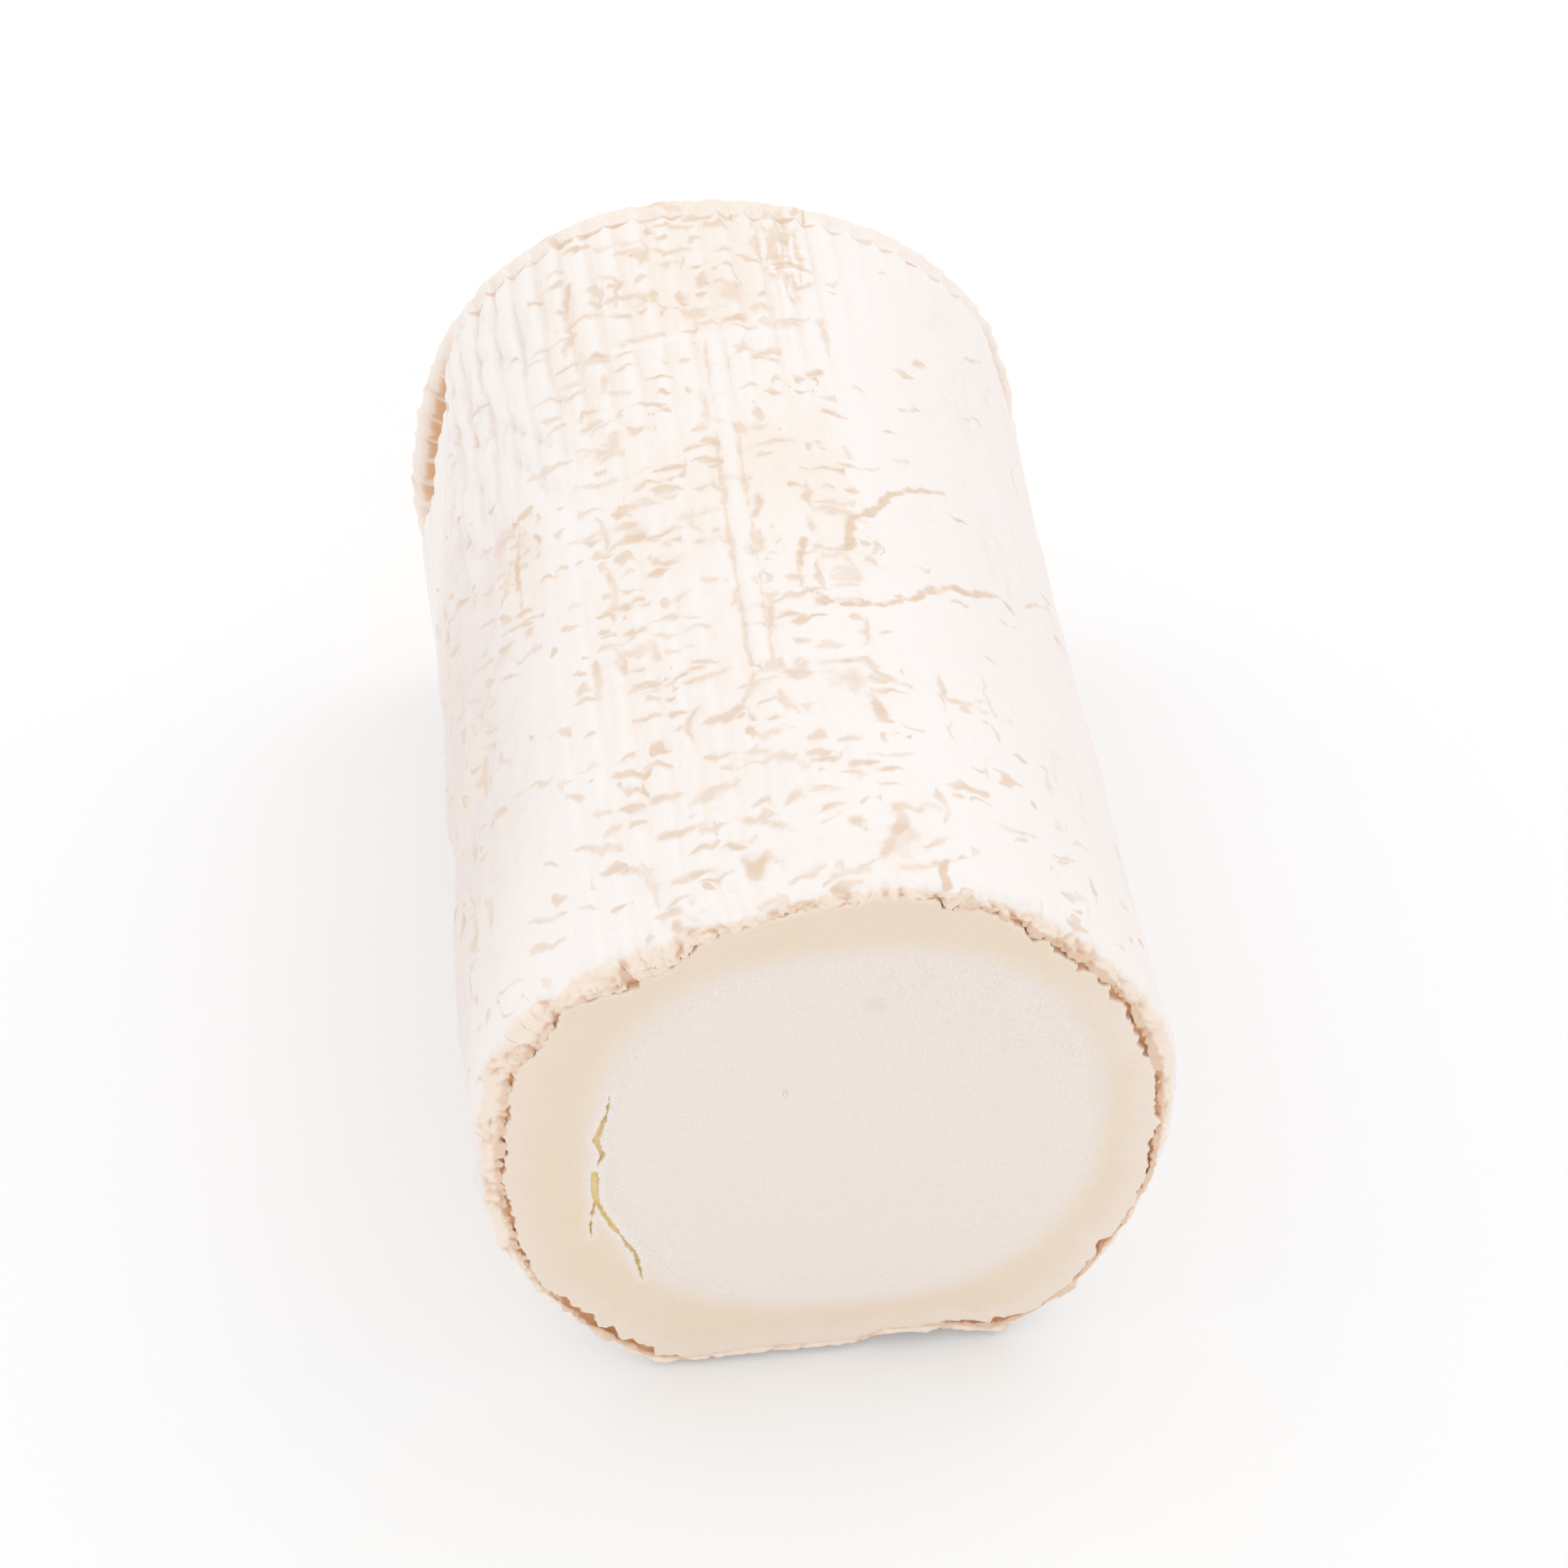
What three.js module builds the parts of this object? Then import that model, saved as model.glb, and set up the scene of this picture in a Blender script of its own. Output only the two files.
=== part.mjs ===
// A ripened goat cheese log with its mould-grown rind, lying on its flattened side.
// One end has been cut square across. The cheese and its rind grew as one piece, so it is one solid.
// Millimetres, +Z up. The log runs along Y and the cut face looks towards -Y.
// The origin is on the table, under the middle of the log's bounding box.

import * as THREE from 'three';
import { mergeVertices } from 'three/addons/utils/BufferGeometryUtils.js';

// ---- Driving dimensions ----

const LOG_LENGTH = 145.5; // cut face to the crest of the far rim
const CUT_RADIUS = 45.0; // mean radius at the cut
const FAR_RADIUS = 45.5; // mean radius at the far end, which has slumped less
const REST_DEPTH = 41.0; // the log's axis to the flat that it rests on
const WAIST_DEPTH = 1.2; // how far the barrel draws in between its ends
const WAIST_PLACE = 0.72; // where it is narrowest, as a share of the length
const RIM_RADIUS = 3.4; // rounding of the far rim
const END_DISH = 1.6; // how far the far end sinks inside its rim
const DISH_SLOPE = 9.0; // width of the slope between the rim and the sunken middle

// How each end departs from a circle: [bulges round the log, height, direction of one bulge in degrees].
// One bulge shifts the whole section. Directions run from +X towards +Z.
const CUT_BULGES = [
  [1, 1.6, -80],
  [3, 0.6, 47],
  [4, 0.5, -33],
  [5, 0.5, 6],
  [6, 0.4, 17],
];
const FAR_BULGES = [
  [1, 2.2, -66],
  [2, 0.5, -2],
  [3, 0.6, -6],
  [4, 0.5, 33],
];

const SIDES = 96; // facets round the log
const BARREL_STEPS = 14; // rings from the cut to the rim
const RIM_STEPS = 5; // rings round the rim
const END_STEPS = 4; // rings down into the dished end

// ---- Profile, turned about the log's axis ----

function barrelProfile() {
  const straight = LOG_LENGTH - RIM_RADIUS;
  const points = [];
  for (let i = 0; i <= BARREL_STEPS; i += 1) {
    points.push(new THREE.Vector2(CUT_RADIUS, (straight * i) / BARREL_STEPS));
  }
  return points;
}

function rimProfile() {
  const points = [];
  for (let i = 1; i <= RIM_STEPS; i += 1) {
    const turn = (Math.PI / 2) * (i / RIM_STEPS);
    const inset = RIM_RADIUS * (1 - Math.cos(turn));
    const rise = RIM_RADIUS * Math.sin(turn);
    points.push(new THREE.Vector2(CUT_RADIUS - inset, LOG_LENGTH - RIM_RADIUS + rise));
  }
  return points;
}

function dishProfile() {
  const crest = CUT_RADIUS - RIM_RADIUS;
  const points = [];
  for (let i = 1; i <= END_STEPS; i += 1) {
    const t = i / END_STEPS;
    const sink = END_DISH * THREE.MathUtils.smoothstep(t, 0, 1);
    points.push(new THREE.Vector2(crest - DISH_SLOPE * t, LOG_LENGTH - sink));
  }
  return points;
}

function logProfile() {
  const cutCentre = new THREE.Vector2(0, 0);
  const farCentre = new THREE.Vector2(0, LOG_LENGTH - END_DISH);
  return [cutCentre, ...barrelProfile(), ...rimProfile(), ...dishProfile(), farCentre];
}

// ---- Slumped section ----

function bulge(bulges, angle) {
  let height = 0;
  for (const [count, size, direction] of bulges) {
    height += size * Math.cos(count * (angle - THREE.MathUtils.degToRad(direction)));
  }
  return height;
}

// How far the barrel is drawn in at a distance y from the cut: nothing at either end.
function waist(y) {
  const along = THREE.MathUtils.clamp(y / LOG_LENGTH, 0, 1);
  const span = along < WAIST_PLACE ? WAIST_PLACE : 1 - WAIST_PLACE;
  const away = Math.abs(along - WAIST_PLACE) / span;
  return WAIST_DEPTH * (0.5 + 0.5 * Math.cos(Math.PI * away));
}

// The outer radius of the log in one direction, at a distance y from the cut.
function skinRadius(angle, y) {
  const blend = THREE.MathUtils.smoothstep(y, 0, LOG_LENGTH);
  const cut = CUT_RADIUS + bulge(CUT_BULGES, angle);
  const far = FAR_RADIUS + bulge(FAR_BULGES, angle);
  return THREE.MathUtils.lerp(cut, far, blend) - waist(y);
}

// Moves each point of the turned log out to the slumped section, then presses the base flat.
function slump(geometry) {
  const position = geometry.getAttribute('position');
  for (let i = 0; i < position.count; i += 1) {
    const y = position.getY(i);
    const angle = Math.atan2(position.getZ(i), position.getX(i));
    const stretch = skinRadius(angle, y) / CUT_RADIUS;
    const x = position.getX(i) * stretch;
    const z = Math.max(position.getZ(i) * stretch, -REST_DEPTH);
    position.setXYZ(i, x, y, z);
  }
}

// Puts the origin on the table, under the middle of the bounding box.
function seat(geometry) {
  geometry.computeBoundingBox();
  const { min, max } = geometry.boundingBox;
  geometry.translate(-(min.x + max.x) / 2, -(min.y + max.y) / 2, -min.z);
}

function cheeseLog() {
  const turned = new THREE.LatheGeometry(logProfile(), SIDES);
  turned.deleteAttribute('normal');
  turned.deleteAttribute('uv');
  const geometry = mergeVertices(turned);
  slump(geometry);
  seat(geometry);
  geometry.computeVertexNormals();
  const rind = new THREE.MeshStandardMaterial({ color: 0xf7f0e8, roughness: 0.85, metalness: 0 });
  const mesh = new THREE.Mesh(geometry, rind);
  mesh.name = 'cheese_log';
  return mesh;
}

const group = new THREE.Group();
group.add(cheeseLog());

export default group;
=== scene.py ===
# %% [markdown]
# # A ripened goat cheese log, cut across
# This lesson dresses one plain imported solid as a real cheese: a soft goat cheese log with a mould-grown
# rind, lying on its flattened side, with one end cut square.
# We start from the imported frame. It says how big the cheese is and where it lies, so every later number
# is either read from it or is a size of the cheese itself, in millimetres.

# %% Load the frame
import itertools
import math

import bmesh
import bpy
import numpy as np
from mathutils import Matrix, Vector
from mathutils.bvhtree import BVHTree


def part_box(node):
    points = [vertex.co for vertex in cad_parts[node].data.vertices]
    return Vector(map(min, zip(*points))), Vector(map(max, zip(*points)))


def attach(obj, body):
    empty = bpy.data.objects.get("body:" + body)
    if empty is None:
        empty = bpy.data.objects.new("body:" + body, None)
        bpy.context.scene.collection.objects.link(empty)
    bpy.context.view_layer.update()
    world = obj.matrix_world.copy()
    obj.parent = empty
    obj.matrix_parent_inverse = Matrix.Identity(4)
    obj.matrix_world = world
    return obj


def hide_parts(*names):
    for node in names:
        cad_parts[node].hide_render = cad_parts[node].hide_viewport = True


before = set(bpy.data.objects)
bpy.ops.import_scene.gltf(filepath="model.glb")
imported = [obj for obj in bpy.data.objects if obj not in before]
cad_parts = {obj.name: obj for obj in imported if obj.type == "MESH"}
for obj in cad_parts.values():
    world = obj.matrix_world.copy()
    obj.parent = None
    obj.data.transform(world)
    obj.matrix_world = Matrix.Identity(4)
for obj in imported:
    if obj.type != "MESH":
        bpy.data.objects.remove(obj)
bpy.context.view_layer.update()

MM = 0.001
log_low, log_high = (np.array(corner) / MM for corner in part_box("cheese_log"))
LOG_LENGTH = log_high[1] - log_low[1]
CUT_Y = log_low[1]
print(f"the log is {LOG_LENGTH:.1f} mm long, {log_high[0] - log_low[0]:.1f} wide, {log_high[2]:.1f} high")

# %% [markdown]
# ## Where things are on a log
# A cheese maker points at a place on a log by two numbers: how far round it is, and how far from the cut.
# We do the same. "Around" is an angle about an axis inside the log (0 is the right side, 90 the top),
# "along" is the distance from the cut face in millimetres, and "depth" is how far under the skin.
# The log has slumped, so it isn't round. Rather than repeating its outline here, we shoot rays from the
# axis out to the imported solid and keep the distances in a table. Whatever CAD says is then the shape.

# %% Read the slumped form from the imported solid
AXIS_X = -1.4  # the ribs run round an axis a little left of the middle: the log slumped to the right
AXIS_Z = 41.0
TABLE_TURNS = 240
TABLE_STATIONS = 48
END_MARGIN = 4.5  # stay clear of the far rim's rounding


def read_form():
    """The distance from the axis to the solid's side, in mm, at evenly spaced directions and stations."""
    solid = BVHTree.FromObject(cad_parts["cheese_log"], bpy.context.evaluated_depsgraph_get())
    reach = np.zeros((TABLE_STATIONS, TABLE_TURNS))
    for row, along in enumerate(np.linspace(0.5, LOG_LENGTH - END_MARGIN, TABLE_STATIONS)):
        start = Vector((AXIS_X, CUT_Y + along, AXIS_Z)) * MM
        for column in range(TABLE_TURNS):
            turn = math.tau * column / TABLE_TURNS
            reach[row, column] = solid.ray_cast(start, Vector((math.cos(turn), 0, math.sin(turn))))[3] / MM
    for _ in range(2):  # three-point averages take the solid's flat facets away
        reach = (np.roll(reach, 1, 1) + 2 * reach + np.roll(reach, -1, 1)) / 4
    return reach


form = read_form()
print(f"radius from {form.min():.1f} to {form.max():.1f} mm")


def form_radius(around, along):
    """The solid's radius in mm, read between the table's entries."""
    row = (along - 0.5) / (LOG_LENGTH - END_MARGIN - 0.5) * (TABLE_STATIONS - 1)
    row = np.clip(row, 0, TABLE_STATIONS - 1.001)
    column = np.mod(around / math.tau, 1) * TABLE_TURNS
    r0, c0 = np.floor(row).astype(int), np.floor(column).astype(int)
    fr, fc = row - r0, column - c0
    c0, c1 = c0 % TABLE_TURNS, (c0 + 1) % TABLE_TURNS
    near = form[r0, c0] * (1 - fc) + form[r0, c1] * fc
    far = form[r0 + 1, c0] * (1 - fc) + form[r0 + 1, c1] * fc
    return near * (1 - fr) + far * fr


def place(around, along, depth):
    """Places in the frame, in mm. The table top is at 0, and nothing goes under it."""
    radius = form_radius(around, along) - depth
    x = AXIS_X + radius * np.cos(around)
    z = AXIS_Z + radius * np.sin(around)
    return np.stack([x, CUT_Y + along, np.maximum(z, 0)], -1)


# %% [markdown]
# ## Numbers that wander
# Nothing on a cheese repeats exactly. Two small tools give us the variety: a solid noise, which is a
# lattice of random slopes with smooth blending in between, and a smooth step for soft borders.
# Each noise has its own seed, so the same cheese comes out every time.

# %% Noise and soft borders
LATTICE = 32


def make_noise(seed):
    """A function from places, in lattice steps, to smooth values from about -1 to 1."""
    slopes = np.random.default_rng(seed).normal(size=(LATTICE, LATTICE, LATTICE, 3))
    slopes /= np.linalg.norm(slopes, axis=-1, keepdims=True)

    def noise(places):
        cell = np.floor(places).astype(int)
        inside = places - cell
        blend = inside**3 * (inside * (inside * 6 - 15) + 10)
        total = np.zeros(places.shape[:-1])
        for corner in itertools.product((0, 1), repeat=3):
            corner = np.array(corner)
            index = (cell + corner) % LATTICE
            slope = slopes[index[..., 0], index[..., 1], index[..., 2]]
            weight = np.prod(np.where(corner, blend, 1 - blend), axis=-1)
            total += weight * ((inside - corner) * slope).sum(-1)
        return total * 1.6

    return noise


def rough(noise, places, size, octaves=3, fade=0.5):
    """Layers of one noise, each twice as fine as the last. size is the first layer's, in mm."""
    return sum(fade**i * noise(places * 2**i / np.asarray(size) + 7.3 * i) for i in range(octaves))


def soft_step(low, high, value):
    t = np.clip((value - low) / (high - low), 0, 1)
    return t * t * (3 - 2 * t)


def patch(around, along, centre, half_size):
    """1 in an oval of the skin and 0 well outside it. The centre and half size are (degrees, mm)."""
    turn = (np.degrees(around) - centre[0] + 180) % 360 - 180
    far = (turn / half_size[0]) ** 2 + ((along - centre[1]) / half_size[1]) ** 2
    return np.exp(-(far**2))


def listed(around, pairs):
    """A value that changes round the log, blended between given (degrees, value) pairs."""
    degrees, values = (list(row) for row in zip(*sorted(pairs)))
    degrees = [degrees[-1] - 360, *degrees, degrees[0] + 360]
    values = [values[-1], *values, values[0]]
    return np.interp(np.degrees(around) % 360, degrees, values)


def line_gap(across, up, points):
    """Distance in mm to a line of (across, up, half width) points, less the line's own half width."""
    nearest = np.full(np.shape(across), 1e3)
    for (x0, y0, w0), (x1, y1, w1) in zip(points, points[1:]):
        dx, dy = x1 - x0, y1 - y0
        t = np.clip(((across - x0) * dx + (up - y0) * dy) / (dx * dx + dy * dy), 0, 1)
        gap = np.hypot(across - x0 - t * dx, up - y0 - t * dy) - (w0 + (w1 - w0) * t)
        nearest = np.minimum(nearest, gap)
    return nearest


# %% [markdown]
# ## The skin's relief
# The rind took its ribs from the mould and the draining mat: shallow grooves along the whole log, about
# 4 mm apart. While it ripened, the skin dried and shrank, so it wrinkled across the ribs, folded on the
# left shoulder, and split along a few lines. All of that has real height, so it goes in the mesh.
# First come the lists of what lies where. A line is drawn by points of (degrees, mm behind the cut, half
# width in mm), as one would draw it on the cheese with a pen. An area is an oval.

# %% Where the seams, splits, marks, stains and areas lie
RIBS = 66
SKIN_DEPTH = 0.5  # the barrel lies this far in, so that its rims and ridges can stand proud of it
SKIN_ARC = 44.0  # mm of skin for each radian round the log, near enough to measure over the skin

SEAM = [(91.6, 112, 0.5), (93.0, 82, 0.6), (93.7, 43, 0.4)]
CROSS_SEAM = [(111, 113.5, 0.3), (92, 112.6, 0.5), (76, 114, 0.4)]
SPLITS = [
    [(80.5, 64.8, 0.25), (76, 64.5, 0.2), (74.2, 66, 0.45), (73.6, 69.5, 0.5), (73, 72, 0.3),
     (69.5, 73.5, 0.45), (66.5, 76.3, 0.5), (64, 79.6, 0.4), (61.3, 81.2, 0.45), (57, 83.5, 0.5),
     (51, 85.3, 0.2)],
    [(82.5, 66.5, 0.4), (83.7, 63, 0.4), (85, 59, 0.45), (84.4, 57, 0.35), (80.5, 54, 0.35), (78, 53, 0.45),
     (71, 53.6, 0.35), (65, 56.2, 0.35), (60.2, 59.6, 0.6), (56, 62, 0.6), (50, 63.4, 0.45), (42, 67.3, 0.4),
     (38, 64, 0.1)],
    [(36, 69, 0.1), (30, 74, 0.4), (24, 77, 0.1)],
    [(70.3, 1.0, 0.3), (70.8, 3.2, 0.35), (69.6, 5.0, 0.2), (67.0, 5.8, 0.05)],
    [(137, 86, 0.3), (138, 80, 0.5), (137, 72, 0.2)],
]
MARKS = [  # the boldest of the tan strokes
    [(119, 70.5, 0.3), (118, 67, 0.5), (117.5, 64.5, 0.4), (118.5, 61.5, 0.6), (114, 60.5, 0.5),
     (112, 60.2, 0.2)],
    [(122, 88.5, 0.3), (118, 87, 0.5), (112.5, 86.5, 0.4)],
    [(125, 78.3, 0.4), (118, 77.2, 0.5), (113, 77, 0.4)],
    [(114.5, 80.6, 0.5), (108, 79.8, 0.2)],
    [(115, 74.2, 0.6), (111, 73.4, 0.4), (106.5, 70.6, 0.4)],
    [(103, 74.8, 0.5), (96.5, 75, 0.3)],
    [(101, 69.5, 0.5), (97, 69.2, 0.4), (94.5, 66, 0.1)],
    [(96, 100.5, 0.4), (95.4, 97, 0.5), (95.8, 93, 0.2)],
    [(101.5, 61.6, 0.5), (97, 60.3, 0.2)],
    [(107, 59.2, 0.5), (103.5, 60.4, 0.2)],
    [(115.5, 52.5, 0.4), (112.3, 52.6, 0.45), (111.6, 49, 0.4)],
    [(123, 53, 0.5), (123, 49, 0.6), (123.5, 46, 0.3)],
    [(117, 45, 0.6), (113, 44.3, 0.5), (108, 43, 0.4), (103, 42.5, 0.6), (99.5, 43, 0.2)],
    [(95.3, 41, 0.4), (96.8, 38, 0.5), (98, 36, 0.3)],
    [(102, 33.8, 0.7), (99, 35, 0.8)],
    [(90.3, 69, 0.4), (90.3, 65, 0.4)],
    [(91, 53.5, 0.5), (90.5, 49.5, 0.3)],
    [(76.5, 13, 0.5), (76, 10.5, 0.8), (77.5, 8.5, 0.7), (80, 5.5, 0.4)],
    [(83.5, 11, 0.8), (82, 9.5, 0.4)],
    [(95.5, 25, 0.5), (92, 24, 0.4), (89.5, 21.8, 0.3)],
    [(82.5, 20.8, 0.5), (78.5, 21.2, 0.5)],
    [(102.5, 16, 0.2), (98, 14, 0.5), (95, 12.5, 0.6)],
    [(116, 23.5, 0.8), (113.5, 23.2, 0.5)],
    [(115.5, 17, 0.6), (113, 16.5, 0.5), (108, 16.8, 0.3)],
    [(126, 16, 0.6), (121, 13.5, 0.5), (117, 9, 0.2)],
    [(115, 8.8, 0.4), (110, 9, 0.5), (108, 8.5, 0.3)],
    [(102.5, 9, 0.7), (101, 6.5, 0.8), (98.5, 9, 0.5), (96.5, 7, 0.3)],
    [(84, 41, 0.2), (80, 41.3, 0.4), (76, 42, 0.5), (75, 39, 0.7), (71, 37, 0.5), (68.5, 36.5, 0.2)],
    [(77, 34, 0.5), (76, 31, 0.7), (75.5, 29, 0.4)],
    [(90, 40, 0.3), (88.5, 39.2, 0.9), (86.5, 39.5, 0.4)],
    [(78.2, 58.6, 0.9), (75, 59.4, 1.4)],
    [(75.5, 104.6, 0.4), (72, 106, 0.6)],
    [(85, 108.3, 0.6), (80.5, 107.2, 0.4)],
    [(90.5, 93, 0.6), (89.5, 91, 0.7)],
    [(88.5, 87.3, 0.2), (84, 88.6, 0.5), (80.5, 88.4, 0.3)],
    [(73, 96.5, 0.7), (69, 95.5, 0.2)],
    [(71, 88.5, 0.4), (70.3, 86, 0.7)],
    [(113.5, 96, 0.8), (113.8, 92, 0.7)],
    [(113.5, 109, 0.5), (114, 105.6, 0.5), (109, 103.6, 0.3)],
    [(89.3, 77, 0.4), (89, 75, 0.5), (90.3, 72.2, 0.4)],
    [(65, 36, 0.3), (60, 36.3, 0.6), (56, 38, 0.3)],
]
STAINS = [  # (degrees, mm behind the cut, radius in mm)
    (87, 122.5, 2.0), (77, 8, 1.6), (101, 8, 1.6), (104, 122, 1.2), (80, 38, 2.4),
    (141, 66, 2.4), (142, 90, 2.0), (118, 115, 1.6), (113, 95, 1.5), (112, 75, 1.8),
]
AREAS = {  # the middle as (degrees, mm behind the cut), and half the size in the same units
    "shoulder": ((146, 106), (27, 36)),
    "flank": ((172, 52), (36, 52)),
    "right": ((12, 75), (46, 95)),
    "blister": ((55, 70), (13, 12)),
    "crumple": ((75.5, 132), (5, 12)),
    "sharp ribs": ((132, 120), (26, 28)),
    "long ribs": ((118, 36), (22, 44)),
    "faint ribs": ((50, 118), (22, 40)),
    "rubbed": ((135, 78), (9, 14)),
    "left dent": ((131, 4), (13, 17)),
    "low dent": ((219, 0), (14, 20)),
    "top dent": ((86, 0), (27, 8)),
    "left marks": ((136, 44), (30, 50)),
    "flank marks": ((168, 55), (24, 60)),
    "right marks": ((58, 22), (22, 26)),
    "far marks": ((95, 132), (26, 14)),
}
print(f"{RIBS} ribs, {math.tau * SKIN_ARC / RIBS:.1f} mm apart")
print(f"{len(MARKS)} bold marks and {len(SPLITS)} splits")

# %% Four noises, and the lines and folds drawn with them
drift, ripple, crease, grit = (make_noise(seed) for seed in (11, 23, 37, 41))


def thin_line(value):
    """1 where a noise crosses zero, which draws its creases as lines."""
    return np.exp(-((value / 0.13) ** 2))


def soft_fold(value):
    """A noise's height above its creases, with the creases rounded."""
    return np.sqrt(value * value + 0.015) - 0.12


def seam_side(across, up, points):
    """Signed distance in mm across a lengthwise seam, growing quickly past its two ends."""
    (_, top, _), *_, (_, bottom, _) = points
    line = np.interp(up, [p[1] for p in points[::-1]], [p[0] for p in points[::-1]])
    past = np.maximum(np.maximum(up - top, bottom - up), 0)
    return across - line + np.sign(across - line) * past * 1.5


def measured(points):
    """Given (degrees, mm, half width) points as distances over the skin."""
    return [(math.radians(degrees) * SKIN_ARC, along, width) for degrees, along, width in points]


def nearest_line(arc, along, lines):
    """Distance in mm to the nearest of some listed lines; less than 0 is inside one."""
    return np.min([line_gap(arc, along, measured(points)) for points in lines], axis=0)


# %% [markdown]
# ### The large bends
# Behind the far rim the barrel is sunken, most of all on the left. Near the cut the underside lifts a
# little off the table, and the skin there is dented. These are wider than any rib, so they come first.

# %% Far channel and lifted underside
def channel(around):
    """1 where the far rim stands out from the sunken barrel, on the left, and a little on the right."""
    return patch(around, 0 * around, (173, 0), (19, 9)) + 0.35 * patch(around, 0 * around, (14, 0), (9, 9))


def recess(around, along):
    """How far the barrel sinks behind the far rim, in mm."""
    return 3.0 * channel(around) * soft_step(98, LOG_LENGTH - 7, along)


def arch(around, along):
    """The log's underside lifts a little off the table near the cut, most of all left of its right corner."""
    return 1.1 * patch(around, along, (266, 0), (24, 13)) + 2.0 * patch(around, along, (289, 0), (10, 9))


# %% [markdown]
# ### The depth of the skin at any place
# One function adds up the ribs, wrinkles, folds and lines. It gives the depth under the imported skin, and
# keeps some smooth fields, such as where the skin is worn, for the colours later. The flat that the log
# rests on stays flat.

# %% Ribs, wrinkles, folds and lines
def rib_waves(around, along, spot, on):
    """The ribs' sideways shift, their phase, and their height in mm, which differs from area to area."""
    shift = 0.9 * drift(spot / (26, 60, 26)) + 0.5 * ripple(spot / (9, 30, 9))
    shift = shift + 1.3 * on["shoulder"] * ripple(spot / (11, 13, 11) + 8)
    height = 0.42 * (0.8 + 0.5 * drift(spot / (17, 25, 17) + 4)) * (0.35 + 1.1 * soft_step(80, 125, along))
    height = height * (1 + 1.6 * on["sharp ribs"]) * (1 - 0.45 * on["flank"]) + 0.16 * on["long ribs"]
    height = height * (1 - 0.5 * on["faint ribs"]) * (1 - 0.75 * on["right"]) * (1 - 0.8 * on["blister"])
    return shift, RIBS * around + shift, height


def worn_thin(degrees, spot, on):
    """About 1 on the top, where the mould was rubbed, and 0 lower down."""
    worn = soft_step(66, 76, degrees) * (1 - soft_step(116, 132, degrees))
    return np.maximum(worn * (0.75 + 0.5 * drift(spot / 22 + 9)), 0.9 * on["rubbed"])


def fold_noises(spot, arc, along):
    """Noises whose creases are the shoulder's slanted folds, the flank's net and the right's long folds."""
    slanted = np.stack([(arc - 0.35 * along) / 5.5, (along + 0.2 * arc) / 24, 0 * along + 0.7], -1)
    slanted = slanted + 0.35 * np.stack([ripple(spot / 14)] * 3, -1)
    net = spot / (8, 12, 8) + 0.3 * ripple(spot / 5)[..., None]
    lengthwise = np.stack([arc / 4.2, along / 34, 0 * along + 5.2], -1)
    return crease(slanted), crease(net), crease(lengthwise)


def stained(spot, arc, along):
    """How far inside a stain each place is, in mm, with ragged borders."""
    inside = [radius - np.hypot(arc - math.radians(degrees) * SKIN_ARC, along - middle)
              for degrees, middle, radius in STAINS]
    return np.max(inside, axis=0) + 0.8 * rough(ripple, spot + 20, 4, 2)


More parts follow.
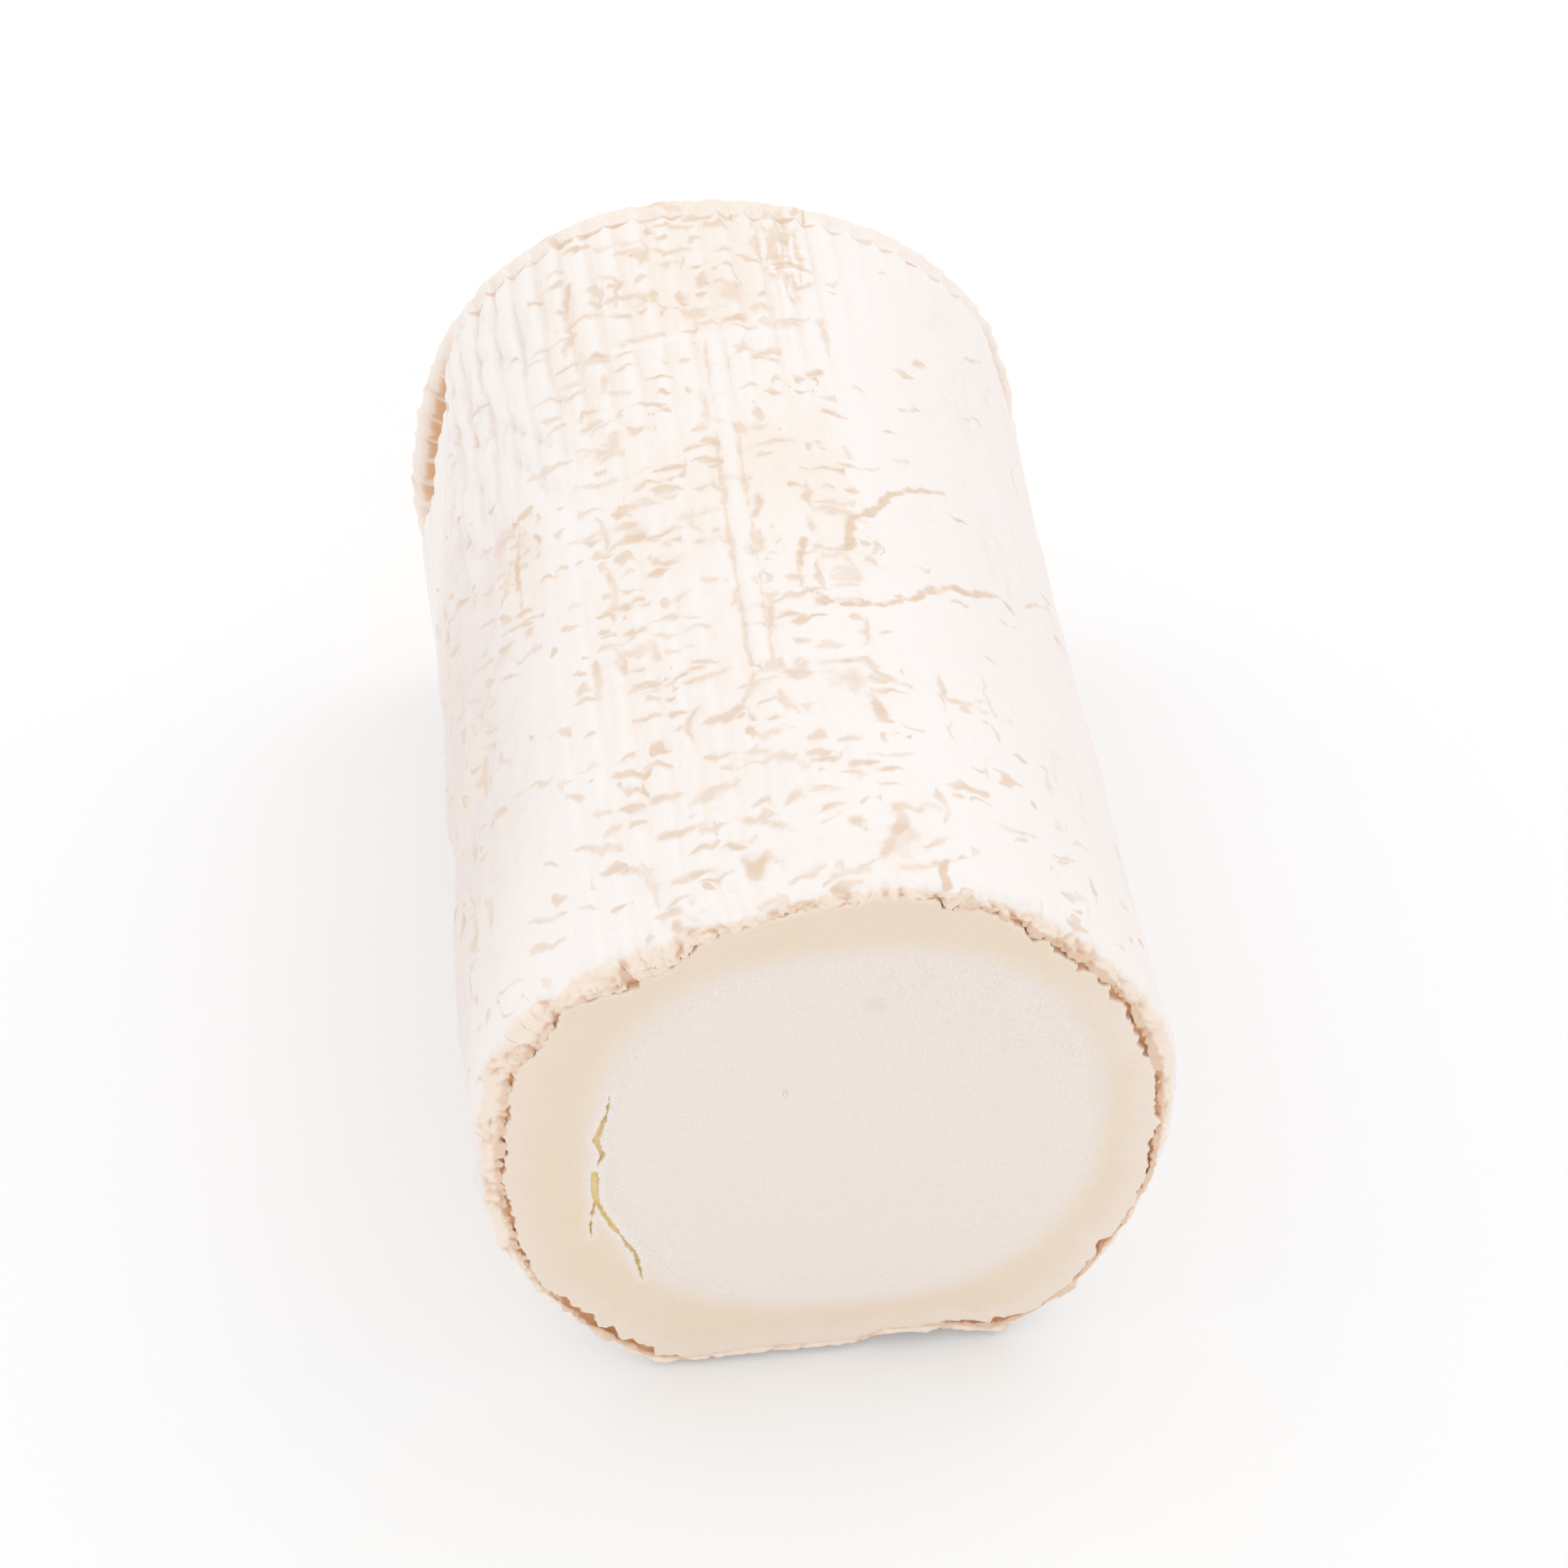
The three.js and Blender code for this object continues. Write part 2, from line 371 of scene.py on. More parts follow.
def skin(around, along):
    """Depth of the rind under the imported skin, in mm, and the fields that its colours follow."""
    spot = place(around, along, 0)
    turn = (around + math.pi / 2) % math.tau - math.pi / 2  # -90 to 270 degrees: the join is underneath
    arc = turn * SKIN_ARC
    on = {name: patch(around, along, *area) for name, area in AREAS.items()}
    shoulder, flank, right = on["shoulder"], on["flank"], on["right"]

    shift, phase, rib_height = rib_waves(around, along, spot, on)
    crest = 0.5 + 0.5 * np.cos(phase)
    fine_crest = 0.5 + 0.5 * np.cos(2 * phase + 1.1)
    worn = worn_thin(np.degrees(turn), spot, on)
    rows = along / 2.7 + 0.55 * ripple(spot / (7, 12, 7) + 3) + 0.5 * np.sin(phase / 2)
    wrinkles = 0.14 * np.cos(math.tau * rows) * (1 - 0.6 * crest) * (0.25 + 0.75 * worn)
    swell = 0.55 * drift(spot / 30 + 2) + 0.2 * ripple(spot / 10)
    folds, net, long_folds = fold_noises(spot, arc, along)

    side = seam_side(arc, along, measured(SEAM))
    cross_seam = line_gap(arc, along, measured(CROSS_SEAM))
    split = nearest_line(arc, along, SPLITS) + 0.3 * rough(grit, spot, 2.2, 2)
    ridge = 0.38 * np.exp(-((side / 0.8) ** 2)) + 0.24 * np.exp(-((np.maximum(cross_seam, 0) / 0.5) ** 2))
    ditch = 0.22 * np.exp(-(((np.abs(side) - 1.5) / 0.5) ** 2)) + 0.22 * (1 - soft_step(-0.5, 0.5, split))

    height = rib_height * (0.8 * crest + 0.45 * fine_crest) + wrinkles + swell + ridge - ditch
    height = height + 0.35 * on["blister"] + shoulder * 1.5 * (1.8 * soft_fold(folds) - 0.5)
    height = height + flank * 1.15 * (1.8 * soft_fold(net) - 0.5)
    height = height + right * 0.25 * (1.8 * np.abs(long_folds) - 0.5)
    height = height + on["crumple"] * 0.7 * rough(crease, spot, (2.6, 7, 2.6), 2)
    height = height + 0.05 * rough(grit, spot, 1.6, 2)
    dent = 1.7 * on["left dent"] + 0.9 * on["low dent"] + 1.3 * on["top dent"]
    lifted = soft_step(0.15, 2.2, spot[..., 2])  # 0 on the flat that the log rests on
    depth = lifted * np.maximum(SKIN_DEPTH - height + dent, 0.0) + arch(around, along) + recess(around, along)

    marked = worn * (0.75 + 0.5 * soft_step(28, 60, along)) + 0.6 * on["far marks"]
    near_cut = 0.4 * on["left marks"] + 0.3 * on["flank marks"] + 0.3 * on["right marks"]
    creased = 0.5 * shoulder * thin_line(folds) + 0.8 * flank * thin_line(net)
    creased = creased + 0.5 * right * thin_line(long_folds)
    return depth, {
        "worn": np.clip(worn, 0, 1.3),
        "marked": (0.75 + 1.0 * drift(spot / 9 + 31)) * np.clip(marked + near_cut, 0, 1.3),
        "split": split,
        "stain": stained(spot, arc, along),
        "mark": np.maximum(-nearest_line(arc, along, MARKS), -5),
        "crest": 0.6 * crest + 0.4 * fine_crest,
        "ribbed": np.clip(rib_height / 0.55, 0, 1),
        "shift": shift,
        "side": side,
        "cross": cross_seam,
        "crumple": on["crumple"],
        "folded": np.clip(creased, 0, 1),
        # painted shade: how far the sides are greyed towards the grey-lilac tint, most of all the left flank
        "side_shade": np.clip(0.15 * shoulder + 0.38 * right + 0.95 * flank, 0, 1),
    }


# %% [markdown]
# ## From rows of points to a mesh
# The rind is a tube of points: rows along the log, columns round it. The columns are close together on
# the top and sides and wider underneath, where the log lies. A shared builder turns rows into quads,
# closes the ends with a fan, and stores our fields as mesh attributes, which the materials read.

# %% Mesh helpers
TOP_SPAN = (-28.0, 208.0)  # degrees that are seen, and so get the close columns


def columns_round(seen, under):
    """Angles round the log, in radians, with the close ones on the part that is seen."""
    top = np.linspace(*TOP_SPAN, seen, endpoint=False)
    bottom = np.linspace(TOP_SPAN[1], TOP_SPAN[0] + 360, under, endpoint=False)
    return np.radians(np.concatenate([top, bottom]))


def split_columns(angles, parts):
    """The same angles with each gap divided into equal parts."""
    gaps = np.diff(np.append(angles, angles[0] + math.tau))
    return (angles[:, None] + gaps[:, None] * np.arange(parts) / parts).ravel()


def tube_quads(rows, columns, first=0):
    """Quads between neighbouring rows of a closed tube, as an array of corner numbers."""
    row, column = np.meshgrid(np.arange(rows - 1), np.arange(columns), indexing="ij")
    after = (column + 1) % columns
    a, b = first + row * columns + column, first + row * columns + after
    return np.stack([a, b, b + columns, a + columns], -1).reshape(-1, 4)


def fan(centre, ring, flip):
    """Triangles from one point to a closed ring of corner numbers."""
    after = np.roll(ring, -1)
    middle = np.full_like(ring, centre)
    return np.stack([middle, after, ring] if flip else [middle, ring, after], -1)


def store(mesh, fields):
    """Keeps named numbers on the mesh, one for each point, where the finishes can read them."""
    for key, values in fields.items():
        attribute = mesh.attributes.new(key, "FLOAT", "POINT")
        attribute.data.foreach_set("value", np.asarray(values, dtype=np.float32).ravel())


def triangles(mesh):
    return sum(len(face.vertices) - 2 for face in mesh.polygons)


def show(name, data):
    """Puts a mesh, lamp or camera in the scene under its own name."""
    thing = bpy.data.objects.new(name, data)
    bpy.context.scene.collection.objects.link(thing)
    return thing


def build(name, points, faces, fields, finish):
    """A smooth mesh object from points in mm and a list of face arrays, with its fields as attributes."""
    mesh = bpy.data.meshes.new(name)
    mesh.from_pydata((points * MM).tolist(), [], [face for group in faces for face in group.tolist()])
    store(mesh, fields)
    mesh.shade_smooth()
    mesh.materials.append(finish)
    print(f"{name}: {len(points)} points, {triangles(mesh)} triangles")
    return show(name, mesh)


# %% [markdown]
# ## Shader sums as Python sums
# A finish is a lot of small sums: how worn is the skin here, how near is a split, how much tan does that
# give. In Blender each sum is a node. Wrapping a socket in a small class lets us write `1 - worn * 0.5`
# and get the nodes. Everything that isn't arithmetic comes from one method, `add`.

# %% Sockets that can be added up
def maths(operation, swapped=False):
    """A method that adds one Math node, with its own socket first, or last where it is swapped."""

    def method(self, *others):
        return self.recipe.maths(operation, *((*others, self) if swapped else (self, *others)))

    return method


class Wire:
    """One output socket, which Python's operators turn into Math nodes."""

    def __init__(self, recipe, socket):
        self.recipe, self.socket = recipe, socket

    __add__ = __radd__ = maths("ADD")
    __mul__ = __rmul__ = maths("MULTIPLY")
    __sub__ = maths("SUBTRACT")
    __rsub__ = maths("SUBTRACT", swapped=True)
    __truediv__ = maths("DIVIDE")
    __rtruediv__ = maths("DIVIDE", swapped=True)
    __pow__ = maths("POWER")
    __abs__ = maths("ABSOLUTE")
    __lt__ = maths("LESS_THAN")
    floor = maths("FLOOR")
    most = maths("MAXIMUM")
    least = maths("MINIMUM")

    def held(self):
        """The value kept between 0 and 1."""
        return self.recipe.add("ShaderNodeClamp", {}, {"Value": self})

    def step(self, low, high):
        """0 below low, 1 above high, and a smooth rise in between."""
        settings = {"interpolation_type": "SMOOTHSTEP", "clamp": True}
        inputs = {"Value": self, "From Min": low, "From Max": high}
        return self.recipe.add("ShaderNodeMapRange", settings, inputs)


# %% A material as a recipe
class Recipe:
    """A material being mixed. `add` makes any node: its type, its settings, then its inputs."""

    def __init__(self, name):
        self.material = bpy.data.materials.new(name)
        self.material.use_nodes = True
        self.tree = self.material.node_tree
        self.tree.nodes.clear()

    def add(self, kind, settings, inputs, output=0):
        node = self.tree.nodes.new(kind)
        for key, value in settings.items():
            setattr(node, key, value)
        for key, value in inputs.items():
            self.feed(node.inputs[key], value)
        return Wire(self, node.outputs[output]) if node.outputs else None

    def feed(self, socket, value):
        if isinstance(value, Wire):
            self.tree.links.new(value.socket, socket)
        elif isinstance(value, tuple) and socket.type == "RGBA":
            socket.default_value = (*value, 1)
        else:
            socket.default_value = value

    def maths(self, operation, *values):
        return self.add("ShaderNodeMath", {"operation": operation}, dict(enumerate(values)))

    def field(self, name):
        """A number stored on the mesh."""
        return self.add("ShaderNodeAttribute", {"attribute_name": name}, {}, "Fac")

    def parts(self, colour, names=("Red", "Green")):
        """Some channels of a colour, each as a number."""
        return [self.add("ShaderNodeSeparateColor", {}, {0: colour}, name) for name in names]

    def stretched(self, where, scale):
        """Places scaled by a different number along each axis."""
        return self.add("ShaderNodeVectorMath", {"operation": "MULTIPLY"}, {0: where, 1: scale})

    def layers(self, shade, *coats):
        """Thin coats of (colour, amount) over a first colour, each over the one before.
        A Mix node takes colours at its sockets 6 and 7, and gives one at socket 2."""
        for colour, amount in coats:
            inputs = {"Factor": amount, 6: shade, 7: colour}
            shade = self.add("ShaderNodeMix", {"data_type": "RGBA"}, inputs, 2)
        return shade

    def grain(self, where, size, detail=2.0, roughness=0.5, output="Fac"):
        """Noise from 0 to 1 with lumps about `size` mm across."""
        inputs = {"Vector": where, "Scale": 1 / size, "Detail": detail, "Roughness": roughness}
        return self.add("ShaderNodeTexNoise", {"noise_dimensions": "3D"}, inputs, output)

    def finish(self, inputs):
        """The last two nodes: the shader, fed by name, and the output."""
        shader = self.add("ShaderNodeBsdfPrincipled", {}, inputs)
        self.add("ShaderNodeOutputMaterial", {}, {"Surface": shader})
        print(f"{self.material.name}: {len(self.tree.nodes)} nodes")
        return self.material

    def cheese(self, colour, roughness, height_mm, sheen=0.0):
        """A finish with a height in mm as its bump."""
        bump = self.add("ShaderNodeBump", {}, {"Height": height_mm, "Distance": MM, "Strength": 1.0})
        return self.finish({"Base Color": colour, "Roughness": roughness, "Normal": bump,
                            "Specular IOR Level": 0.25, "Sheen Weight": sheen})


def skin_places(recipe):
    """A point's place in mm, its x and z, the rib it is on, and its distance from the cut in mm."""
    coordinates = recipe.add("ShaderNodeTexCoord", {}, {}, "Object")
    where = recipe.add("ShaderNodeVectorMath", {"operation": "SCALE"}, {0: coordinates, "Scale": 1 / MM})
    x, y, z = (recipe.add("ShaderNodeSeparateXYZ", {}, {0: where}, axis) for axis in "XYZ")
    turn = recipe.maths("ARCTAN2", z - AXIS_Z, x - AXIS_X)
    return where, x, z, turn * (RIBS / math.tau), y - CUT_Y


# %% [markdown]
# ## The mould: white, cream and tan
# Live mould is white and dry, like felt. Where it rubbed thin the cream underneath shows, and in every
# pit and split it is tan. The pits sit in rows across the ribs, one or two to a groove, and each is a
# short curved stroke with a thick end. We lay a brick pattern of cells over the skin, throw dice for each
# cell to place one stroke, and draw it by its distance from a bent line. Three such patterns, of different
# cells, lie over each other.
# The pattern is worked out at each shading point, so its edges stay sharp close up.

# %% Colours of the rind
WHITE = (0.950, 0.902, 0.875)
# painted shade: a grey-lilac white for the flanks and the shoulder, which get less light than the top
SIDE_SHADE_TINT = (0.790, 0.702, 0.680)
CREAM = (0.925, 0.825, 0.732)
TAN = (0.800, 0.612, 0.462)
# tan for the folds' creases, and painted shade for the ribs' grooves
FOLD_TAN = (0.845, 0.715, 0.640)
PALE_TAN = (0.945, 0.815, 0.700)
PINK_TAN = (0.890, 0.685, 0.550)
# painted shade: orange for the far rim's cups, the left channel's pockets, and the torn band's creases and
# crevices
SHADE_ORANGE = (0.760, 0.520, 0.360)
# painted shade: brown for the bottoms of the crevices and pockets
SHADE_BROWN = (0.760, 0.410, 0.190)


# %% Strokes in the ribs' grooves
def dice(recipe, x, y, z):
    """Three random numbers from 0 to 1 for a cell, the same each time for the same cell."""
    cell = recipe.add("ShaderNodeCombineXYZ", {}, {"X": x, "Y": y, "Z": z})
    colour = recipe.add("ShaderNodeTexWhiteNoise", {"noise_dimensions": "3D"}, {"Vector": cell}, "Color")
    return recipe.parts(colour, ("Red", "Green", "Blue"))


def strokes(recipe, rib, along, wobble, width, pitch, chance, lean, seed):
    """How far inside a stroke each point is, in mm: above 0 is inside. One stroke at most in each cell.
    A cell is `width` ribs wide and `pitch` mm long, and wobble is a pair of small shifts in mm."""
    wide = math.tau * SKIN_ARC / RIBS * width
    across = rib / width + wobble[0] * (1 / wide) + seed
    column = across.floor()
    start, _, _ = dice(recipe, column, seed, 0.5)
    up = (along + wobble[1]) / pitch + start
    row = up.floor()
    one, two, three = dice(recipe, column, row, seed)
    shown, tail, _ = dice(recipe, column, row, seed + 0.25)
    dx = (across - column - 0.5) * wide + (one - 0.5) * (wide * 0.3)
    dy = (up - row - 0.5) * pitch + (two - 0.5) * (pitch * 0.4)
    if wide < pitch * 0.9:  # a tall cell holds a stroke that runs along the log
        dx, dy, wide = dy, dx, pitch
    half_long = wide * (0.17 + 0.36 * three * (three + 0.2 * width))
    reach = dx / half_long
    bent = dy - (lean + (two - 0.5) * 0.6) * dx + (one - 0.4) * 0.7 * reach * reach
    thick = (0.40 + 0.66 * one * tail) * (1 + 1.3 * reach * (tail - 0.5)) * (1 - reach * reach)
    here = shown < chance
    return (thick - abs(bent)) * here - (1 - here)


# %% The rind's finish
def tan_pits(recipe, rib, x, z, along, wobble, felt):
    """How far inside a tan stroke each point is, in mm, and the ribs' grooves as whole numbers.
    The flat end has no ribs, so its strokes follow a plain grid."""
    end = recipe.field("end").step(0.4, 0.6)
    grooves = (rib + recipe.field("shift") * (1 / math.tau)) * (1 - end) + x * end / 4.2
    up = along * (1 - end) + z * end
    degrees = rib / RIBS * 360
    lean = ((degrees - 93) / 60).held() * 0.5 - ((93 - degrees) / 60).held() * 0.4
    chance = 0.06 + 0.64 * recipe.field("marked")
    marks = strokes(recipe, grooves, up, wobble, 1.0, 3.1, chance, lean, 0.5)
    marks = marks.most(strokes(recipe, grooves, up, wobble, 1.9, 4.7, chance * 0.75, lean, 3.25))
    marks = marks.most(strokes(recipe, grooves, up, wobble, 1.0, 8.3, chance * 0.45, 0.0, 7.75))
    bold = recipe.field("mark") + (wobble[0] + wobble[1]) * 0.22 + (felt - 0.5) * 0.5
    return marks.most(bold), grooves


def mould(name, rim):
    """The rind's finish. `rim` is a function that adds the tan, and the painted shade and highlight, of the
    piece's own edges.
    """
    recipe = Recipe(name)
    where, x, z, rib, along = skin_places(recipe)
    names = ("worn", "side", "ribbed", "side_shade", "crumple")
    worn, side, ribbed, side_shade, crumple = (recipe.field(name) for name in names)
    crest = (recipe.field("crest") - 0.5) * ribbed.step(0.1, 0.9) + 0.5
    cloud = recipe.grain(where, 14, 3.0)
    fluff = recipe.grain(where, 0.45, 3.0, 0.6)
    felt = recipe.grain(where, 2.4, 4.0, 0.6)
    streak = recipe.grain(recipe.stretched(where, (1, 0.16, 1)), 0.9, 2.0)
    swirl = recipe.grain(where, 2.9, 1.5, 0.5, "Color")
    wobble = [(part - 0.5) * 3.4 for part in recipe.parts(swirl)]
    uneven = felt - 0.5
    cloudy = cloud - 0.5

    marks, grooves = tan_pits(recipe, rib, x, z, along, wobble, felt)
    faint = 0.38 + 0.62 * recipe.grain(where, 6.0, 1.0).step(0.3, 0.7)
    pit = (marks + uneven * 0.6).step(-0.3, 0.42) * faint
    halo = (marks + uneven * 1.2).step(-1.0, 0.3) * worn
    crack = (recipe.field("split") * -1 + uneven * 1.8 + cloudy * 1.2 + wobble[0] * 0.35).step(-0.35, 0.3)
    blot = (recipe.field("stain") + uneven * 4.5 + cloudy * 2.5 + wobble[0]).step(-0.6, 2.4)
    beside = 0.35 - abs(abs(side) - 1.6 + wobble[0] * 0.3) + uneven * 0.9 + cloudy * 3.2
    beside = beside.step(0.0, 0.6) * 0.6
    seam = 1 - (abs(side) + wobble[0] * 0.15).step(0.5, 1.3)
    seam = seam.most(1 - (recipe.field("cross") + wobble[1] * 0.2).step(0.1, 0.7))

    rubbed = worn * (0.3 + along / 120).least(1.0) + cloud * 0.9 + (streak - 0.5) * 0.9 - crest * 0.8
    # cream clouds over the sides: partly cream under thin mould, partly painted shade where the skin turns
    # away from the light
    flank = (side_shade - 0.1) * (cloud * 1.5 + streak - 1.0)
    thin = (rubbed.step(0.05, 1.3) * 0.8).most(flank.step(0.0, 0.45) * 0.6)
    # painted shade: the grooves between the ribs are tinted, as the ribs shade them
    groove = (0.75 - crest + (streak - 0.5) * 0.6).step(0.1, 0.8) * ribbed
    folded = (recipe.field("folded") + uneven * 1.6 + cloudy * 0.8).step(0.1, 1.2)
    torn = crumple * (1 + (streak - 0.5) * 4.0 + uneven * 4.0)

    shade = recipe.layers(
        WHITE,
        # painted shade on the sides, in grey-lilac
        (SIDE_SHADE_TINT, side_shade * (0.45 + 0.6 * cloud)),
        # painted shade in the ribs' grooves
        (FOLD_TAN, groove * 0.45),
        (CREAM, thin),
        (TAN, halo * 0.24),
        (FOLD_TAN, folded * 0.65),
        (TAN, blot * 0.55),
        (TAN, torn.step(0.55, 1.3) * 0.5),
        (WHITE, (crumple * (1.2 - torn)).step(0.25, 0.8) * 0.8),
        (WHITE, seam * 0.55),
        (TAN, pit.most(crack).most(beside) * (1 - seam * 0.7) * (0.5 + 0.7 * felt)),
    )
    shade, edge_height = rim(recipe, where, shade, felt, grooves, along)
    height = felt * 0.16 + fluff * 0.05 + streak * 0.10 - pit * 0.09 - crack * 0.08 + edge_height
    return recipe.cheese(shade, 0.86 - 0.1 * pit, height, sheen=0.1)


# %% [markdown]
# ## The rind, from the far end to the cut
# The far end was never cut. Its rim was pressed against the mould's lid, so each groove ends in a small
# cup, whose shadow is painted in orange, and between the cups the ribs run over the rim like the crimps of
# a pie crust. Past the rim the end face is sunken and wrinkled. We draw the rim as a short profile, deepen
# it where the grooves are, and fill the end face with rings that shrink to its middle.

# %% The far rim's profile
RIM_START = 7.0  # mm before the far end where the rim's own profile takes over from the barrel
CAP_DEPTH = 3.0  # mm behind the cut: how far back the paste's own edge goes
RIND_START = 4.4  # mm behind the cut, where the white skin comes out from under the torn band
RIND_COLUMNS = (300, 72)  # seen, and underneath
BARREL_ROWS = 186
RIM_ROWS = 35
RINGS = 23
RIM_PROFILE = [  # mm before the far end, depth, more depth in a groove's cup, and more in the left channel
    (7.0, 0.50, 0.00, 3.0), (5.2, 0.55, 0.10, 3.5), (4.0, 0.75, 1.00, 4.2), (3.0, 0.75, 1.35, 3.6),
    (2.0, 0.30, 0.90, 1.9), (1.2, 0.02, 0.45, 0.3), (0.5, 0.15, 0.35, 0.0), (0.1, 0.90, 0.30, 0.0),
    (0.0, 2.20, 0.20, 0.0), (0.1, 3.80, 0.10, 0.0), (0.5, 6.00, 0.00, 0.0), (1.1, 9.00, 0.00, 0.0),
]


def smooth_rows(profile, count):
    """A listed profile resampled to `count` evenly spaced rows, with its corners rounded."""
    profile = np.array(profile)
    reach = np.insert(np.cumsum(np.hypot(*np.diff(profile[:, :2], axis=0).T)), 0, 0)
    steps = np.linspace(0, reach[-1], count)
    rows = np.stack([np.interp(steps, reach, column) for column in profile.T], -1)
    for _ in range(3):
        rows[1:-1] = (rows[:-2] + 2 * rows[1:-1] + rows[2:]) / 4
    return rows


# %% Barrel, rim and end face, as rows of places with their fields
def barrel_rows(angles):
    around, along = np.meshgrid(angles, np.linspace(RIND_START, LOG_LENGTH - RIM_START, BARREL_ROWS))
    depth, fields = skin(around, along)
    for name in ("cup", "channel", "end"):
        fields[name] = np.zeros_like(depth)
    return place(around, along, depth), fields


def rim_rows(angles):
    """The far rim, from the barrel's last row over the edge and 9 mm into the end face."""
    from_end, drawn, cups, sunk = smooth_rows(RIM_PROFILE, RIM_ROWS + 1)[1:].T[..., None]
    around, _ = np.meshgrid(angles, from_end)
    start = np.full_like(angles, LOG_LENGTH - RIM_START)
    edge_depth, edge = skin(angles, start)
    edge_depth = edge_depth - recess(angles, start)
    valley = (1 - edge["crest"]) ** 0.7
    spot = place(around, LOG_LENGTH - from_end + 0 * around, 0)
    ragged = (1 + 0.6 * drift(spot / 12 + 6)) * (0.55 + 0.7 * channel(around))
    fade = 1 - soft_step(0, 0.5, np.linspace(0, 1, RIM_ROWS))[:, None]
    lifted = soft_step(0.15, 2.2, spot[..., 2])
    depth = drawn + channel(around) * sunk + (edge_depth - SKIN_DEPTH) * fade + cups * valley * ragged
    depth = depth + 0.25 * rough(ripple, spot, 3.5, 3)
    depth = np.where(drawn < 1.5, np.maximum(depth * lifted, 0), np.maximum(depth, 0.3))
    along = LOG_LENGTH - from_end - 0.3 * valley * (cups > 0.15) * ragged
    along = along - 0.2 * (1 + rough(grit, spot, 3, 2)) * soft_step(1.0, 3.0, drawn)

    fields = {key: values + 0 * depth for key, values in edge.items()}
    fields["cup"] = soft_step(0.2, 1.0, cups * valley * ragged)
    pocket = soft_step(5.6, 4.6, from_end) * soft_step(1.5, 2.3, from_end)
    pocket = np.where(np.arange(RIM_ROWS)[:, None] < 20, pocket, 0)  # only on the barrel's side of the rim
    # the left channel's pockets, which take painted orange and brown shade
    fields["channel"] = channel(around) * pocket * (0.3 + 0.7 * soft_step(0.15, 0.6, valley))
    fields["end"] = np.zeros_like(depth)
    fields["marked"] = fields["marked"] - 2 * soft_step(2.0, 5.0, drawn)
    return place(around, along, depth), fields


def end_face_rows(last, rim_fields):
    """Wrinkled rings from the rim's last row inwards, their fields, and the middle point."""
    middle = np.array([AXIS_X, last[:, 1].mean() - 0.6, AXIS_Z])
    share = np.linspace(1, 0, RINGS + 2)[1:-1, None, None]
    rows = middle + (last - middle) * share
    hollow = 1 - share[..., 0]
    wrinkle = 1 - 2 * np.abs(crease(rows / (7, 30, 7) + 0.3 * ripple(rows / 4)[..., None]))
    relief = 0.8 * (wrinkle - 0.5) + 0.5 * drift(rows / 16) + 0.25 * rough(ripple, rows, 3, 2)
    rows[..., 1] += relief * soft_step(0, 0.12, hollow)
    middle[1] = rows[-1, :, 1].mean()
    inside = soft_step(0, 0.35, hollow)
    calm = {"worn": 0.35, "side_shade": 0.25, "crest": 0.5, "ribbed": 0.0, "crumple": 0.0, "end": 1.0,
            "folded": np.clip(0.5 - wrinkle, 0, 1), "marked": 0.45 * soft_step(0.15, 0.4, hollow) - 0.1}
    fields = {}
    for key, values in rim_fields.items():
        rim_value = values[-1] + 0 * wrinkle
        fields[key] = rim_value + inside * (calm.get(key, rim_value) - rim_value)
    return rows, fields, middle


# %% Make the rind
def make_rind(finish):
    angles = columns_round(*RIND_COLUMNS)
    barrel, barrel_fields = barrel_rows(angles)
    rim, rim_fields = rim_rows(angles)
    face, face_fields, middle = end_face_rows(rim[-1], rim_fields)
    rows = np.concatenate([barrel, rim, face])
    count, columns = rows.shape[:2]
    inner = [AXIS_X, CUT_Y + RIND_START, AXIS_Z]
    points = np.concatenate([rows.reshape(-1, 3), [middle], [inner]])
    numbers = np.arange(count * columns)
    faces = [tube_quads(count, columns)[:, ::-1], fan(count * columns, numbers[-columns:], True),
             fan(count * columns + 1, numbers[:columns], False)]
    fields = {}
    for key, values in barrel_fields.items():
        values = np.concatenate([values, rim_fields[key], face_fields[key]])
        fields[key] = np.append(values.ravel(), [values[-1, -1], values[0, 0]])
    # the rind's front end, hidden behind the torn band: painted brown shade where it shows in the crevice
    fields["deep"] = (points[:, 1] < CUT_Y + RIND_START + 0.01).astype(float)
    return build("rind", points, faces, fields, finish)


def rind_rim(recipe, where, shade, felt, grooves, along):
    """Tan behind the far rim, an arc of painted shadow in each groove's cup, painted orange and brown
    shade in the pockets of the left channel, and painted brown shade on the rind's hidden front end.
    """
    channel = recipe.field("channel")
    column = grooves.floor()
    luck, size, _ = dice(recipe, column, 0.5, 9.5)
    across = (grooves - column - 0.5) * (math.tau * SKIN_ARC / RIBS) + (size - 0.5) * 0.6
    behind = along - (LOG_LENGTH - 4.2) - 0.28 * across * across + (felt - 0.5) * 0.8
    # painted shadow: an arc of orange shade in each groove's cup behind the far rim
    cup_shadow = (0.65 + 0.4 * size - abs(behind) - 0.2 * across * across).step(-0.2, 0.5)
    near_end = (along + (felt - 0.5) * 3.5).step(LOG_LENGTH - 4.0, LOG_LENGTH - 0.8)
    shade = recipe.layers(
        shade,
        (PALE_TAN, near_end * (1 - recipe.field("end") * 0.7) * 0.5),
        # painted shadow in the cups
        (SHADE_ORANGE, cup_shadow * (0.35 + 0.65 * luck) * 0.9),
        # painted orange and brown shade in the left channel's pockets
        (SHADE_ORANGE, (channel * (0.9 + 0.8 * felt)).held()),
        (SHADE_BROWN, (channel * 1.6 + felt - 1.0).held() * 0.5),
        # painted brown shade on the rind's hidden front end
        (SHADE_BROWN, recipe.field("deep") * 0.8),
    )
    return shade, felt * recipe.field("cup") * 0.1


rind = make_rind(mould("white_mould", rind_rim))
